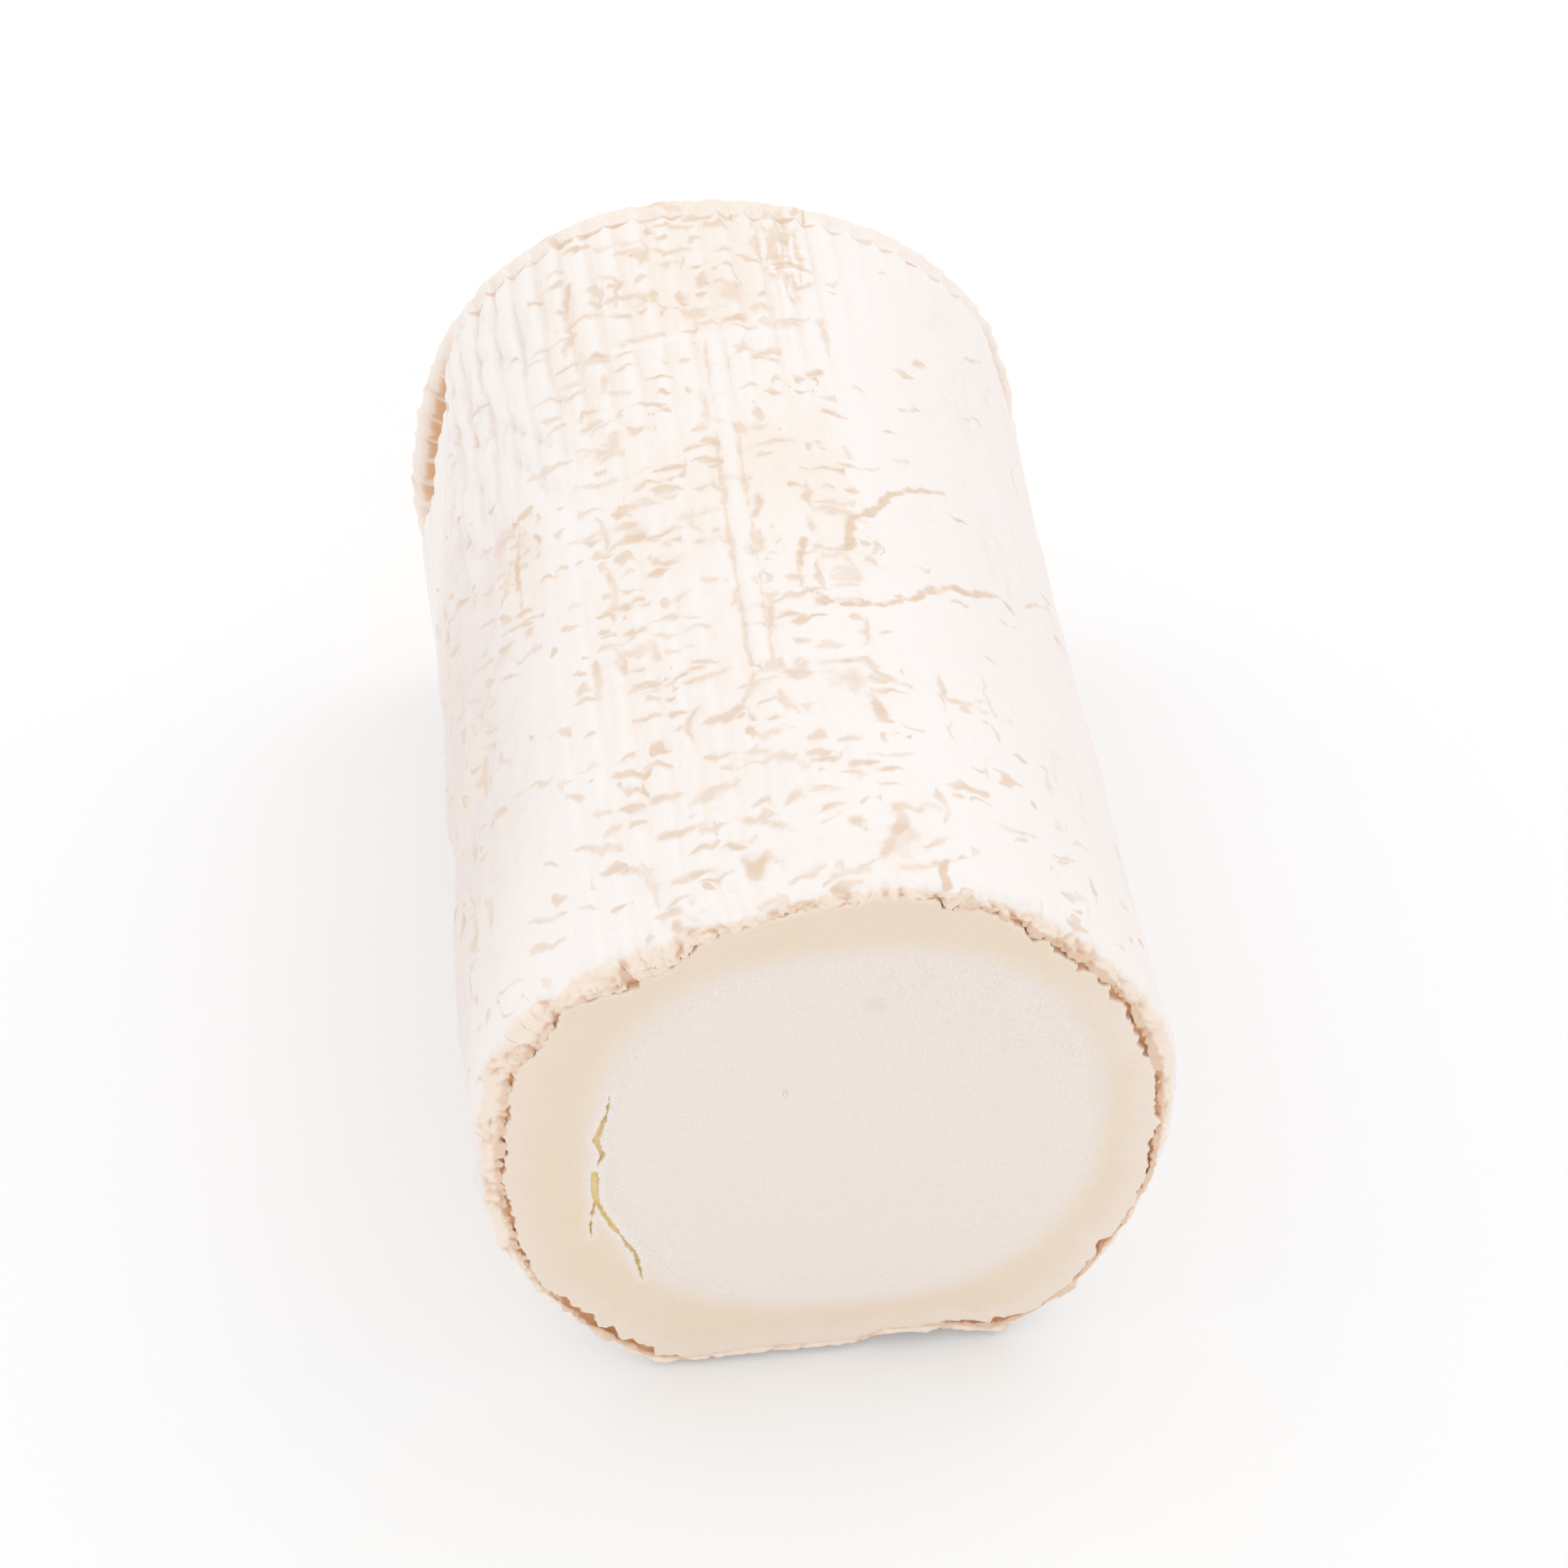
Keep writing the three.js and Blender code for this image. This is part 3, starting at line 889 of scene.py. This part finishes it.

# %% [markdown]
# ## The torn edge of the rind
# A wire cut goes cleanly through the soft paste but tears the drier rind. Its edge is a ragged band, one
# to six millimetres wide, set back a little behind the cut: pink and tan, lumpy, with crevices where it
# pulled away from the paste. The crevices' dark orange and brown, the orange in the creases and the pale
# tops of the lumps are painted shade and highlight. That band carries the finest shapes on the whole
# cheese, so it is a piece of its own with three columns for each one of the rind's, and it slips in under
# the white skin.
# Its cross-section is a closed loop of (distance behind the cut, depth) corners, which differ round the log.

# %% The torn band's measures round the cut, as (degrees, mm)
THICKNESS = [
    (0, 2.5), (20, 3.2), (42, 2.9), (65, 3.6), (92, 3.6), (108, 2.9), (118, 4.6), (131, 6.4), (140, 4.2),
    (150, 5.2), (158, 3.9), (170, 4.3), (190, 3.7), (215, 2.8), (235, 1.5), (246, 1.2), (262, 1.5),
    (272, 1.1), (286, 1.3), (300, 1.9), (312, 1.4), (325, 1.8), (343, 1.3),
]
WHITE_LIP = [
    (0, 0.6), (20, 1.0), (38, 0.5), (50, 0.6), (60, 1.5), (65, 1.6), (68, 0.5), (78, 0.5), (92, 0.5),
    (104, 0.3), (118, 0.5), (131, 0.6), (145, 0.5), (165, 0.8), (190, 0.7), (215, 0.6), (240, 0.2),
    (280, 0.2), (300, 0.3), (335, 0.4),
]
CREVICE = [
    (0, 0.5), (15, 0.9), (30, 1.1), (50, 1.0), (60, 0.2), (66, 0.9), (70, 1.3), (73, 0.3), (78, 0.0),
    (100, 0.1), (117, 0.5), (128, 0.9), (137, 0.2), (150, 0.6), (165, 0.5), (180, 0.8), (195, 0.6),
    (210, 0.4), (225, 1.4), (238, 1.5), (246, 0.0), (288, 0.0), (295, 0.7), (300, 1.5), (306, 0.2),
    (325, 0.9), (335, 0.1), (350, 0.7),
]
SET_BACK = [
    (0, 0.9), (30, 1.4), (60, 0.9), (90, 1.0), (115, 1.6), (131, 2.6), (150, 1.8), (180, 0.7), (215, 0.5),
    (260, 0.2), (300, 0.4), (340, 0.6),
]
# painted shade: how much orange shade the band's inner wall takes round the log, where it faces the paste
# across the crevice
WALL_SHADE = [  # (degrees, how orange the inner wall is)
    (0, 1.0), (55, 0.9), (75, 0.35), (122, 0.4), (150, 0.6), (190, 0.75), (245, 0.85), (262, 0.6), (300, 0.9),
]
FLAPS = [  # (degrees, half width in degrees, lift in mm); less than 0 is a notch
    (67.3, 2.3, 1.5), (71.3, 1.2, -0.4), (122.0, 4.5, 0.7), (128.5, 1.0, -0.5), (134.5, 4.0, 0.8),
    (142.0, 1.0, -0.5), (147.0, 3.4, 0.8), (36.0, 3.0, 0.5), (163.0, 3.0, 0.5), (176.0, 3.0, 0.4),
    (288.0, 2.2, 0.8), (103.0, 2.5, 0.5), (99.0, 1.0, -0.4),
]
cut_angles = split_columns(columns_round(*RIND_COLUMNS), 3)
print(f"the rind's torn edge is {min(t for _, t in THICKNESS)} to {max(t for _, t in THICKNESS)} mm thick")


# %% Thickness and crevices at any place round the cut
def ring_places(around):
    """Places on the cut's edge, for noise that follows the edge round the log."""
    return place(around, 0 * around, 0)


def rind_thickness(around):
    edge = ring_places(around)
    ragged = 0.42 * rough(ripple, edge, 5, 2) + 0.3 * rough(grit, edge, 1.7, 3, 0.6)
    thick = listed(around, THICKNESS)
    return np.maximum(thick + ragged * np.minimum(1, thick / 2.5), 0.4)


def crevice_width(around):
    edge = ring_places(around)
    return np.maximum(listed(around, CREVICE) * (1 + 0.9 * rough(crease, edge + 3, 3.2, 3, 0.6)), 0)


# %% The torn band's cross-section
def torn_corners(around, thick, width):
    """The loop's corners as (behind the cut, depth, follows relief, tan, deep), and the rows after each."""
    edge = ring_places(around)
    back = np.clip(listed(around, SET_BACK) * (1 + 0.7 * rough(ripple, edge + 9, 3.5, 3)), 0.15, 3.0)
    lip = listed(around, WHITE_LIP) * (1 + 0.8 * rough(crease, edge + 6, 4.0, 3))
    net = np.maximum(thick - skin(around, 0 * around)[0], 0.3)
    lip = np.clip(lip, 0.1, net * 0.7)
    brow = 0.3 + 0.25 * rough(grit, edge + 4, 2.0, 2)
    floor = 0.75 + 0.3 * rough(grit, edge + 12, 1.6, 2) + 0.3 * width
    return [
        ((7.5, 2.2, 1, 0, 0), 3),
        ((6.6, 0.5, 1, 0, 0), 5),
        ((4.6, -0.16, 1, 0, 0), 10),
        ((back + 0.9, -0.2, 1, 0, 0), 5),
        ((back + 0.2, 0.1, 1, 0, 0), 4),
        ((back * 0.85, lip, 1, 0.5, 0), 6),
        ((back * 0.6, lip + 0.25 * (net - lip), 1, 1, 0), 10),
        ((np.maximum(back * 0.25, 0.05), thick - np.minimum(0.3, thick * 0.2), 0, 1, 0), 5),
        ((brow, thick + 0.05, 0, 1, 0.3), 4),
        ((floor * 0.8, thick + 0.1, 0, 1, 0.8), 3),
        ((floor, thick + 0.35, 0, 1, 1), 6),
        ((floor + 0.3, thick + width + 0.9, 0, 1, 1), 2),
        ((CAP_DEPTH + 0.6, thick + width + 0.6, 0, 1, 1), 3),
        ((5.5, net + 1.5, 1, 1, 1), 3),
        ((7.5, 3.4, 1, 0, 1), 2),
    ]


def torn_rows(around):
    """The loop's rows: behind the cut, depth, follows the relief, tan, deep, and how near the paste."""
    thick = rind_thickness(around)
    corners = torn_corners(around, thick, crevice_width(around))
    steps = []
    for (start, rows), (end, _) in zip(corners, corners[1:] + corners[:1]):
        for i in range(rows):
            steps.append([a + (b - a) * i / rows + 0 * around for a, b in zip(start, end)])
    steps = np.array(steps)
    for _ in range(2):
        steps = (np.roll(steps, 1, 0) + 2 * steps + np.roll(steps, -1, 0)) / 4
    return *steps.transpose(1, 0, 2), soft_step(0.5, 0.95, steps[:, 1] / thick)


# %% Make the torn band
def torn_lumps(places, turn, tan, deep, inner):
    """How far each place is pushed out, in mm, and the lumps' height, which the painted highlight and shade
    on the band follow.
    """
    billow = np.abs(crease(places / 4.6)) + 0.65 * np.abs(crease(places / 1.9 + 5))
    billow = billow + 0.12 * np.abs(grit(places / 0.7))
    crumbs = np.abs(grit(places / 1.5 + 3)) + 0.4 * np.abs(crease(places / 0.8))
    flaps = sum(lift * patch(turn, 0 * turn, (degrees, 0), (half, 9)) for degrees, half, lift in FLAPS)
    lumps = (billow - 0.4) * 1.7 + 0.5 * drift(places / 6) + (crumbs - 0.3) * 1.2 * inner + flaps
    lumps = np.maximum(lumps, 0.35 * inner - 0.75)  # a hollow must not reach through to the band's back
    thin = np.minimum(1, rind_thickness(turn[0]) / 2.4)  # a thin rind has lower lumps
    amount = np.clip(tan * (1 - 0.85 * deep) * thin, 0, 1)
    return lumps * amount, billow + 0.4 * flaps + inner * (crumbs - 0.3)


def make_torn_edge(finish):
    behind, depth, follow, tan, deep, inner = torn_rows(cut_angles)
    turn = np.broadcast_to(cut_angles, behind.shape)
    relief, fields = skin(turn, behind)
    places = place(turn, behind, depth + relief * follow + arch(turn, behind) * (1 - follow))
    columnwise, rowwise = (np.roll(places, -1, axis) - np.roll(places, 1, axis) for axis in (1, 0))
    outward = np.cross(columnwise, rowwise)
    outward /= np.linalg.norm(outward, axis=-1, keepdims=True) + 1e-9
    push, lump = torn_lumps(places, turn, tan, deep, inner)
    places = places + outward * push[..., None]
    behind_cut = places[..., 1] - CUT_Y  # lumps that would pass the cut's plane are pressed flat behind it
    places[..., 1] = CUT_Y + np.where(behind_cut > 0.35, behind_cut, 0.35 * np.exp(behind_cut / 0.35 - 1))
    places[..., 2] = np.maximum(places[..., 2], 0)
    count, columns = behind.shape
    first = np.arange(columns)
    after = (first + 1) % columns
    last = (count - 1) * columns
    faces = [tube_quads(count, columns), np.stack([last + first, last + after, after, first], -1)]
    fields["tan"] = np.clip(tan, 0, 1)
    # the crevice's bottom rows, which take a painted brown shade
    fields["deep"] = np.clip(deep, 0, 1)
    fields["lump"] = np.clip(lump, 0, 2)
    # how much painted orange shade the inner wall takes
    fields["inner"] = inner * listed(turn, WALL_SHADE)
    return build("torn_rind_edge", places.reshape(-1, 3), faces, fields, finish)


def torn_rim(recipe, where, shade, felt, grooves, along):
    """Paler tops on the lumps as painted highlight, pinker between them, painted orange shade in the creases
    and on the inner wall, and painted brown shade at the bottom of the crevices.
    """
    tan, deep, lump = recipe.field("tan"), recipe.field("deep"), recipe.field("lump")
    inner = recipe.field("inner")
    fine = recipe.grain(where, 1.3, 3.0, 0.6)
    # the hollows between the lumps, which take a painted orange shade
    hollow = 1 - (lump + (fine - 0.5) * 0.4).step(0.05, 0.4)
    # the band's own pink and tan, with painted highlight and shade on its lumps
    flesh = recipe.layers(
        PINK_TAN,
        # painted highlight: the tops of the lumps are paler
        (PALE_TAN, (lump * 1.2 - inner * 0.3 + (fine - 0.5)).step(-0.1, 0.65)),
        # painted shade in the hollows between the lumps
        (SHADE_ORANGE, hollow * (0.3 + 0.6 * inner)),
        # painted orange shade on the inner wall, in the crevice
        (SHADE_ORANGE, (inner + (fine - 0.5) * 0.9).step(0.2, 0.85) * 0.75),
    )
    shade = recipe.layers(
        shade,
        (flesh, (tan + (fine - 0.5) * 0.9 + (felt - 0.5) * 0.5).step(0.3, 0.75)),
        # painted brown shade at the bottom of the crevices
        (SHADE_BROWN, (deep * 1.2 + (fine - 0.5) * 0.5).step(0.35, 1.1) * 0.85),
    )
    return shade, fine * tan * 0.25


torn_edge = make_torn_edge(mould("torn_rind", torn_rim))

# %% [markdown]
# ## The paste
# Inside, the cheese ripens from the skin inwards. The core is still chalky and white. Round it runs the
# cream line, smooth and yellower, and next to the rind the paste is pale again. Where the chalky core
# meets the softer ring at the left, the paste has cracked: the walls of the crack are olive yellow.
# The cut face is one fine disc of points. Its columns match the torn edge where it is ragged and thin out
# towards the middle. Along the crack we divide the faces again, so that the crack's walls are real.

# %% The core's outline and the cracks, as lines of (x, height, half width) in mm
CORE_MIDDLE = (1.5, 41.0)  # x, and height above the table
CORE_HALF = (31.5, 31.0)
CORE_POWER = 2.35  # 2 would be an ellipse; more is squarer
CRACKS = [
    [(-28.0, 51.5, 0.05), (-28.3, 49.0, 0.16), (-29.0, 46.8, 0.24), (-29.9, 44.2, 0.42), (-29.5, 42.6, 0.24),
     (-29.1, 41.2, 0.34), (-29.8, 39.6, 0.12)],
    [(-30.2, 38.0, 0.42), (-30.3, 35.0, 0.48), (-30.1, 33.0, 0.3), (-29.5, 31.0, 0.25), (-28.2, 28.2, 0.34),
     (-27.2, 26.2, 0.14), (-26.2, 24.0, 0.3), (-25.5, 22.6, 0.2), (-25.2, 20.6, 0.26), (-24.7, 17.6, 0.03)],
    [(-30.2, 33.0, 0.2), (-30.7, 31.2, 0.16), (-31.0, 28.8, 0.1), (-31.0, 26.6, 0.03)],
]
CRACK_DEPTH = 0.8
PASTE_WALL = [  # the paste's edge from its back to the cut, as (behind the cut, how far out)
    (CAP_DEPTH + 0.4, -0.2), (2.6, 0.05), (2.0, 0.1), (1.5, 0.1), (1.0, 0.06), (0.6, 0.02), (0.3, 0.0),
    (0.12, -0.12), (0.03, -0.3),
]


# %% Distances on the cut face
def core_gap(x, z):
    """Distance in mm inside the chalky core's border; less than 0 is outside it."""
    across, up = np.abs(x - CORE_MIDDLE[0]) / CORE_HALF[0], np.abs(z - CORE_MIDDLE[1]) / CORE_HALF[1]
    return (1 - (across**CORE_POWER + up**CORE_POWER) ** (1 / CORE_POWER)) * CORE_HALF[1]


def crack_gap(x, z):
    """Distance in mm to the nearest crack's wall; less than 0 is inside it."""
    flat = np.stack([x, 0 * x, z], -1)
    gap = np.min([line_gap(x, z, points) for points in CRACKS], axis=0)
    return gap + 0.2 * rough(grit, flat, 0.9, 3, 0.6)


def paste_edge(around):
    """Radius of the paste at the cut, in mm."""
    edge = ring_places(around)
    ragged = 0.22 * rough(ripple, edge + 2, 3.4, 2) + 0.22 * rough(grit, edge + 8, 1.1, 3, 0.6)
    inset = np.maximum(rind_thickness(around) + crevice_width(around) - 0.25 + ragged, 0.35)
    return form_radius(around, 0 * around) - inset - arch(around, 0 * around)


# %% Rings of the paste
def thin_out(fine, coarse):
    """Triangles from a fine ring to the ring inside it, which has fewer points."""
    count = len(coarse)
    parts = len(fine) // count
    faces = []
    for i in range(count):
        here, after = coarse[i], coarse[(i + 1) % count]
        corners = [fine[(i * parts + j) % len(fine)] for j in range(parts + 1)]
        half = (parts + 1) // 2
        faces += [(here, corners[j], corners[j + 1]) for j in range(half)]
        faces += [(here, corners[half], after)]
        faces += [(after, corners[j], corners[j + 1]) for j in range(half, parts)]
    return np.array(faces)


def paste_points():
    """Rings of the paste from its back edge, over the ragged front edge, to the middle of the core."""
    fine = cut_angles
    edge = paste_edge(fine)
    level = edge.copy()
    for _ in range(60):
        level = (np.roll(level, 1) + 2 * level + np.roll(level, -1)) / 4
    rings, total = [], 0
    for behind, out in PASTE_WALL:
        rings.append((fine, edge + out, behind))
    for inset in np.arange(0.6, 4.6, 0.33):
        keep = 1 - soft_step(0.2, 4.2, inset)
        rings.append((fine, level + (edge - level) * keep - inset, 0.0))
    middle_angles, inner_angles = fine[::3], fine[::9]
    for inset in np.arange(5.0, 29.0, 0.5):
        rings.append((middle_angles, level[::3] - inset, 0.0))
    inner_start = level[::9] - 29.3
    for share in np.linspace(1, 0.06, 11):
        rings.append((inner_angles, inner_start * share, 0.0))
    points, faces, previous = [], [], None
    for angles, radius, behind in rings:
        x = AXIS_X + radius * np.cos(angles)
        z = np.maximum(AXIS_Z + radius * np.sin(angles), 0)
        points.append(np.stack([x, CUT_Y + behind + 0 * x, z], -1))
        numbers = total + np.arange(len(angles))
        total += len(angles)
        if previous is not None and len(previous) == len(numbers):
            after = np.roll(np.arange(len(numbers)), -1)
            faces.append(np.stack([previous, previous[after], numbers[after], numbers], -1))
        elif previous is not None:
            faces.append(thin_out(previous, numbers))
        previous = numbers
    points.append(np.array([[AXIS_X, CUT_Y, AXIS_Z], [AXIS_X, CUT_Y + PASTE_WALL[0][0], AXIS_Z]]))
    faces.append(fan(total, previous, False))
    faces.append(fan(total + 1, np.arange(len(fine)), True))
    return np.concatenate(points), faces


# %% Open the cracks
def divide_along_cracks(piece, reach=1.5, cuts=5):
    """Cuts the faces near the cracks into much smaller ones, so that the walls can be steep."""
    mesh = bmesh.new()
    mesh.from_mesh(piece.data)
    middles = np.array([face.calc_center_median() for face in mesh.faces]) / MM
    front = middles[:, 1] < CUT_Y + 0.02
    near = front & (crack_gap(middles[:, 0], middles[:, 2]) < reach)
    mesh.faces.ensure_lookup_table()
    edges = {edge for number in np.flatnonzero(near) for edge in mesh.faces[number].edges}
    bmesh.ops.subdivide_edges(mesh, edges=list(edges), cuts=cuts, use_grid_fill=True)
    bmesh.ops.triangulate(mesh, faces=[face for face in mesh.faces if len(face.verts) > 4])
    mesh.to_mesh(piece.data)
    mesh.free()


def carve_paste(piece):
    """Sinks the cracks, gives the face its slight unevenness, and stores the fields of the finish."""
    mesh = piece.data
    points = np.empty(len(mesh.vertices) * 3, dtype=np.float32)
    mesh.vertices.foreach_get("co", points)
    points = points.reshape(-1, 3).astype(float) / MM
    x, z = points[:, 0], points[:, 2]
    around = np.arctan2(z - AXIS_Z, x - AXIS_X)
    behind = points[:, 1] - CUT_Y
    front = 1 - soft_step(0.02, 0.1, behind)
    core, crack = core_gap(x, z), crack_gap(x, z)
    inset = paste_edge(around) - np.hypot(x - AXIS_X, z - AXIS_Z)
    flat = np.stack([x, 0 * x, z], -1)
    sunk = 0.12 * (1 + drift(flat / 18)) + 0.10 * (1 - soft_step(-1.5, 1.0, core))
    sunk = sunk + 0.03 * rough(grit, flat, 1.4, 2)
    sunk = sunk * soft_step(0.2, 3.0, inset)
    opened = 1 - soft_step(-0.12, 0.06, crack)
    deep = opened * CRACK_DEPTH * (0.75 + 0.25 * ripple(flat / 2))
    lip = 0.10 * np.exp(-((np.maximum(crack, 0) / 0.5) ** 2)) * (1 - opened)
    points[:, 1] = np.maximum(points[:, 1] + front * (np.maximum(sunk - lip, 0) + deep), CUT_Y)
    mesh.vertices.foreach_set("co", (points * MM).astype(np.float32).ravel())
    fields = {"core": core, "inset": inset, "crack": crack, "opened": opened * front, "behind": behind}
    store(mesh, fields)
    mesh.update()
    print(f"{piece.name}: now {len(mesh.vertices)} points, {triangles(mesh)} triangles")


# %% [markdown]
# ## The paste's finish
# The three rings of the paste differ in colour and in grain. Chalky curd is matte and slightly open, so
# the wire left a fine stipple on it; the cream line is closed and a little shiny. Soft borders between
# them come from the distance to the core's outline, shaken by noise.

# %% Paste material
CHALK = (0.892, 0.808, 0.748)
CREAM_LINE = (0.850, 0.712, 0.570)
PALE_PASTE = (0.880, 0.765, 0.680)
OLIVE = (0.900, 0.735, 0.380)
GREY_SPOT = (0.780, 0.715, 0.665)
SPOT = (4.8, 63.5, 1.3)  # a dull grey spot in the core: x, height, radius in mm
SCRATCH = (-6.3, 49.5)  # a tiny dent that the wire left: x, height


def paste_finish():
    recipe = Recipe("cut_paste")
    where, x, z, _, _ = skin_places(recipe)
    names = ("core", "inset", "crack", "opened", "behind")
    core, inset, crack, opened, behind = (recipe.field(name) for name in names)
    cloud, blot = recipe.grain(where, 16, 3.0), recipe.grain(where, 3.2, 3.0)
    stipple = recipe.grain(recipe.stretched(where, (1.2, 1, 0.75)), 0.62, 2.0, 0.55)
    ripples = recipe.grain(where, 0.28, 1.0)

    ring = (core * -1 + (blot - 0.5) * 1.6).step(-1.6, 3.4)
    outer = 1 - (inset + (blot - 0.5) * 3.0).step(0.6, 5.2)
    outer = outer * (1 - (z + cloud * 8).step(58, 76)) * (0.6 + 0.35 * (x - 5).step(0, 25))
    crumb = 1 - (inset + (blot - 0.5) * 0.8).step(0.0, 0.7)
    spot = ((x - SPOT[0]) ** 2 + (z - SPOT[1]) ** 2) ** 0.5 + (blot - 0.5) * 0.8
    scratch = (((x - SCRATCH[0]) * 2.0) ** 2 + ((z - SCRATCH[1]) * 0.8) ** 2) ** 0.5 + (stipple - 0.5) * 0.8
    chalky = 1 - ring
    # where the painted highlight on the stipple is strongest
    upper_right = ((x - 12) * 0.03 + (z - 52) * 0.035 + (cloud - 0.5) * 1.2).step(-0.5, 0.9)
    border = (1 - abs(core - 1.4) / 2.2).held() * (1 - (x + cloud * 10).step(-14, 4)) * (blot * 1.6).held()
    # painted highlight: the stipple's raised dots, most at the upper right where the light catches them, and
    # crumbs along the core's border
    highlit_dots = stipple.step(0.44, 0.7) * chalky * (0.15 + 0.6 * upper_right + 0.9 * border).held()

    shade = recipe.layers(
        CHALK,
        (CREAM_LINE, ring * (0.8 + 0.35 * cloud)),
        (PALE_PASTE, outer),
        (PALE_TAN, crumb * 0.5),
        (GREY_SPOT, (1 - spot.step(SPOT[2] * 0.5, SPOT[2] * 1.5)) * 0.42),
        (WHITE, (1 - crack.step(0.05, 1.3)) * (1 - opened) * 0.35),
        (OLIVE, opened.step(0.02, 0.5) * 0.92),
        # painted shade: the paste's edge turns orange as it runs back into the crevice behind the cut
        (SHADE_ORANGE, (behind + (blot - 0.5)).step(0.5, 2.4) * 0.75),
        # painted highlight on the stipple's dots
        (WHITE, highlit_dots * 0.45),
    )
    height = stipple * 0.12 + ripples * (0.05 + 0.07 * chalky) + highlit_dots * 0.085
    height = height + blot * 0.10 + spot.step(0.2, SPOT[2]) * 0.04 + scratch.step(0.1, 0.8) * 0.15
    return recipe.cheese(shade, 0.62 + 0.2 * chalky, height)


# %% Make the paste
paste = build("cut_paste", *paste_points(), {}, paste_finish())
divide_along_cracks(paste)
carve_paste(paste)

# %% [markdown]
# ## One cheese
# The three pieces are one grown thing. Each rides on the log's only body, and the imported solid that
# they replace is hidden.

# %% Join the pieces to the frame
for piece in (rind, torn_edge, paste):
    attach(piece, "root")
    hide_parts("cheese_log")

# %% [markdown]
# ## Table, light and camera
# Dairy pictures are taken on white, in light so soft that the shadows almost vanish: a bright sky all
# round, two large soft lamps behind the cheese, at its left and right, and a weaker one in front, so that
# the cut face doesn't go dull. The camera looks down at 42 degrees, from a little to the left, with a long
# lens. Lamps and camera are both placed by azimuth, which is 0 in front of the cut and 90 at its right.

# %% Table
TABLE_HALF = 3.0  # metres


def make_table():
    h = TABLE_HALF
    mesh = bpy.data.meshes.new("table")
    mesh.from_pydata([(-h, -h, 0), (h, -h, 0), (h, h, 0), (-h, h, 0)], [], [(0, 1, 2, 3)])
    mesh.materials.append(Recipe("white_table").finish({"Base Color": (0.96, 0.96, 0.96), "Roughness": 0.9}))
    show("table", mesh)


make_table()

# %% Light
SKY = 0.89
LAMP_AIM = Vector((0, 0, 0.04))
LAMPS = [  # name, azimuth, elevation, distance and size in metres, and power in watts
    ("left_softbox", -110, 46, 1.1, 0.9, 1.2),
    ("right_softbox", 115, 50, 1.1, 0.9, 1.6),
    ("front_softbox", 5, 30, 1.2, 0.7, 0.7),
]


def direction(azimuth, elevation):
    """The unit vector from the cheese towards a lamp or the camera."""
    a, e = math.radians(azimuth), math.radians(elevation)
    return Vector((math.sin(a) * math.cos(e), -math.cos(a) * math.cos(e), math.sin(e)))


def make_lamp(name, azimuth, elevation, distance, size, power):
    """A square soft lamp that looks at the cheese."""
    back = direction(azimuth, elevation)
    data = bpy.data.lights.new(name, "AREA")
    data.size, data.energy = size, power
    lamp = show(name, data)
    lamp.location = back * distance + LAMP_AIM
    lamp.rotation_euler = back.to_track_quat("Z", "Y").to_euler()


def make_sky(strength):
    world = bpy.data.worlds.new("studio")
    world.use_nodes = True
    sky = world.node_tree.nodes["Background"].inputs
    sky["Color"].default_value = (1, 1, 1, 1)
    sky["Strength"].default_value = strength
    bpy.context.scene.world = world


make_sky(SKY)
for lamp in LAMPS:
    make_lamp(*lamp)
bpy.context.scene.view_settings.view_transform = "Standard"
print(f"sky at {SKY} and {len(LAMPS)} lamps")

# %% Camera
AZIMUTH, ELEVATION = -6.85, 42.0  # degrees
CAMERA_DISTANCE = 0.485
CAMERA_AIM = Vector((-0.0065, CUT_Y * MM, 0.1009))  # the picture's centre, in the cut's plane
LENS, SENSOR = 96.9, 36  # mm


def make_camera():
    back = direction(AZIMUTH, ELEVATION)
    data = bpy.data.cameras.new("camera")
    data.lens, data.sensor_width = LENS, SENSOR
    data.clip_start, data.clip_end = 0.01, 20
    camera = show("camera", data)
    camera.location = CAMERA_AIM + back * CAMERA_DISTANCE
    camera.rotation_mode = "QUATERNION"
    camera.rotation_quaternion = (-back).to_track_quat("-Z", "Y")
    bpy.context.scene.camera = camera


make_camera()
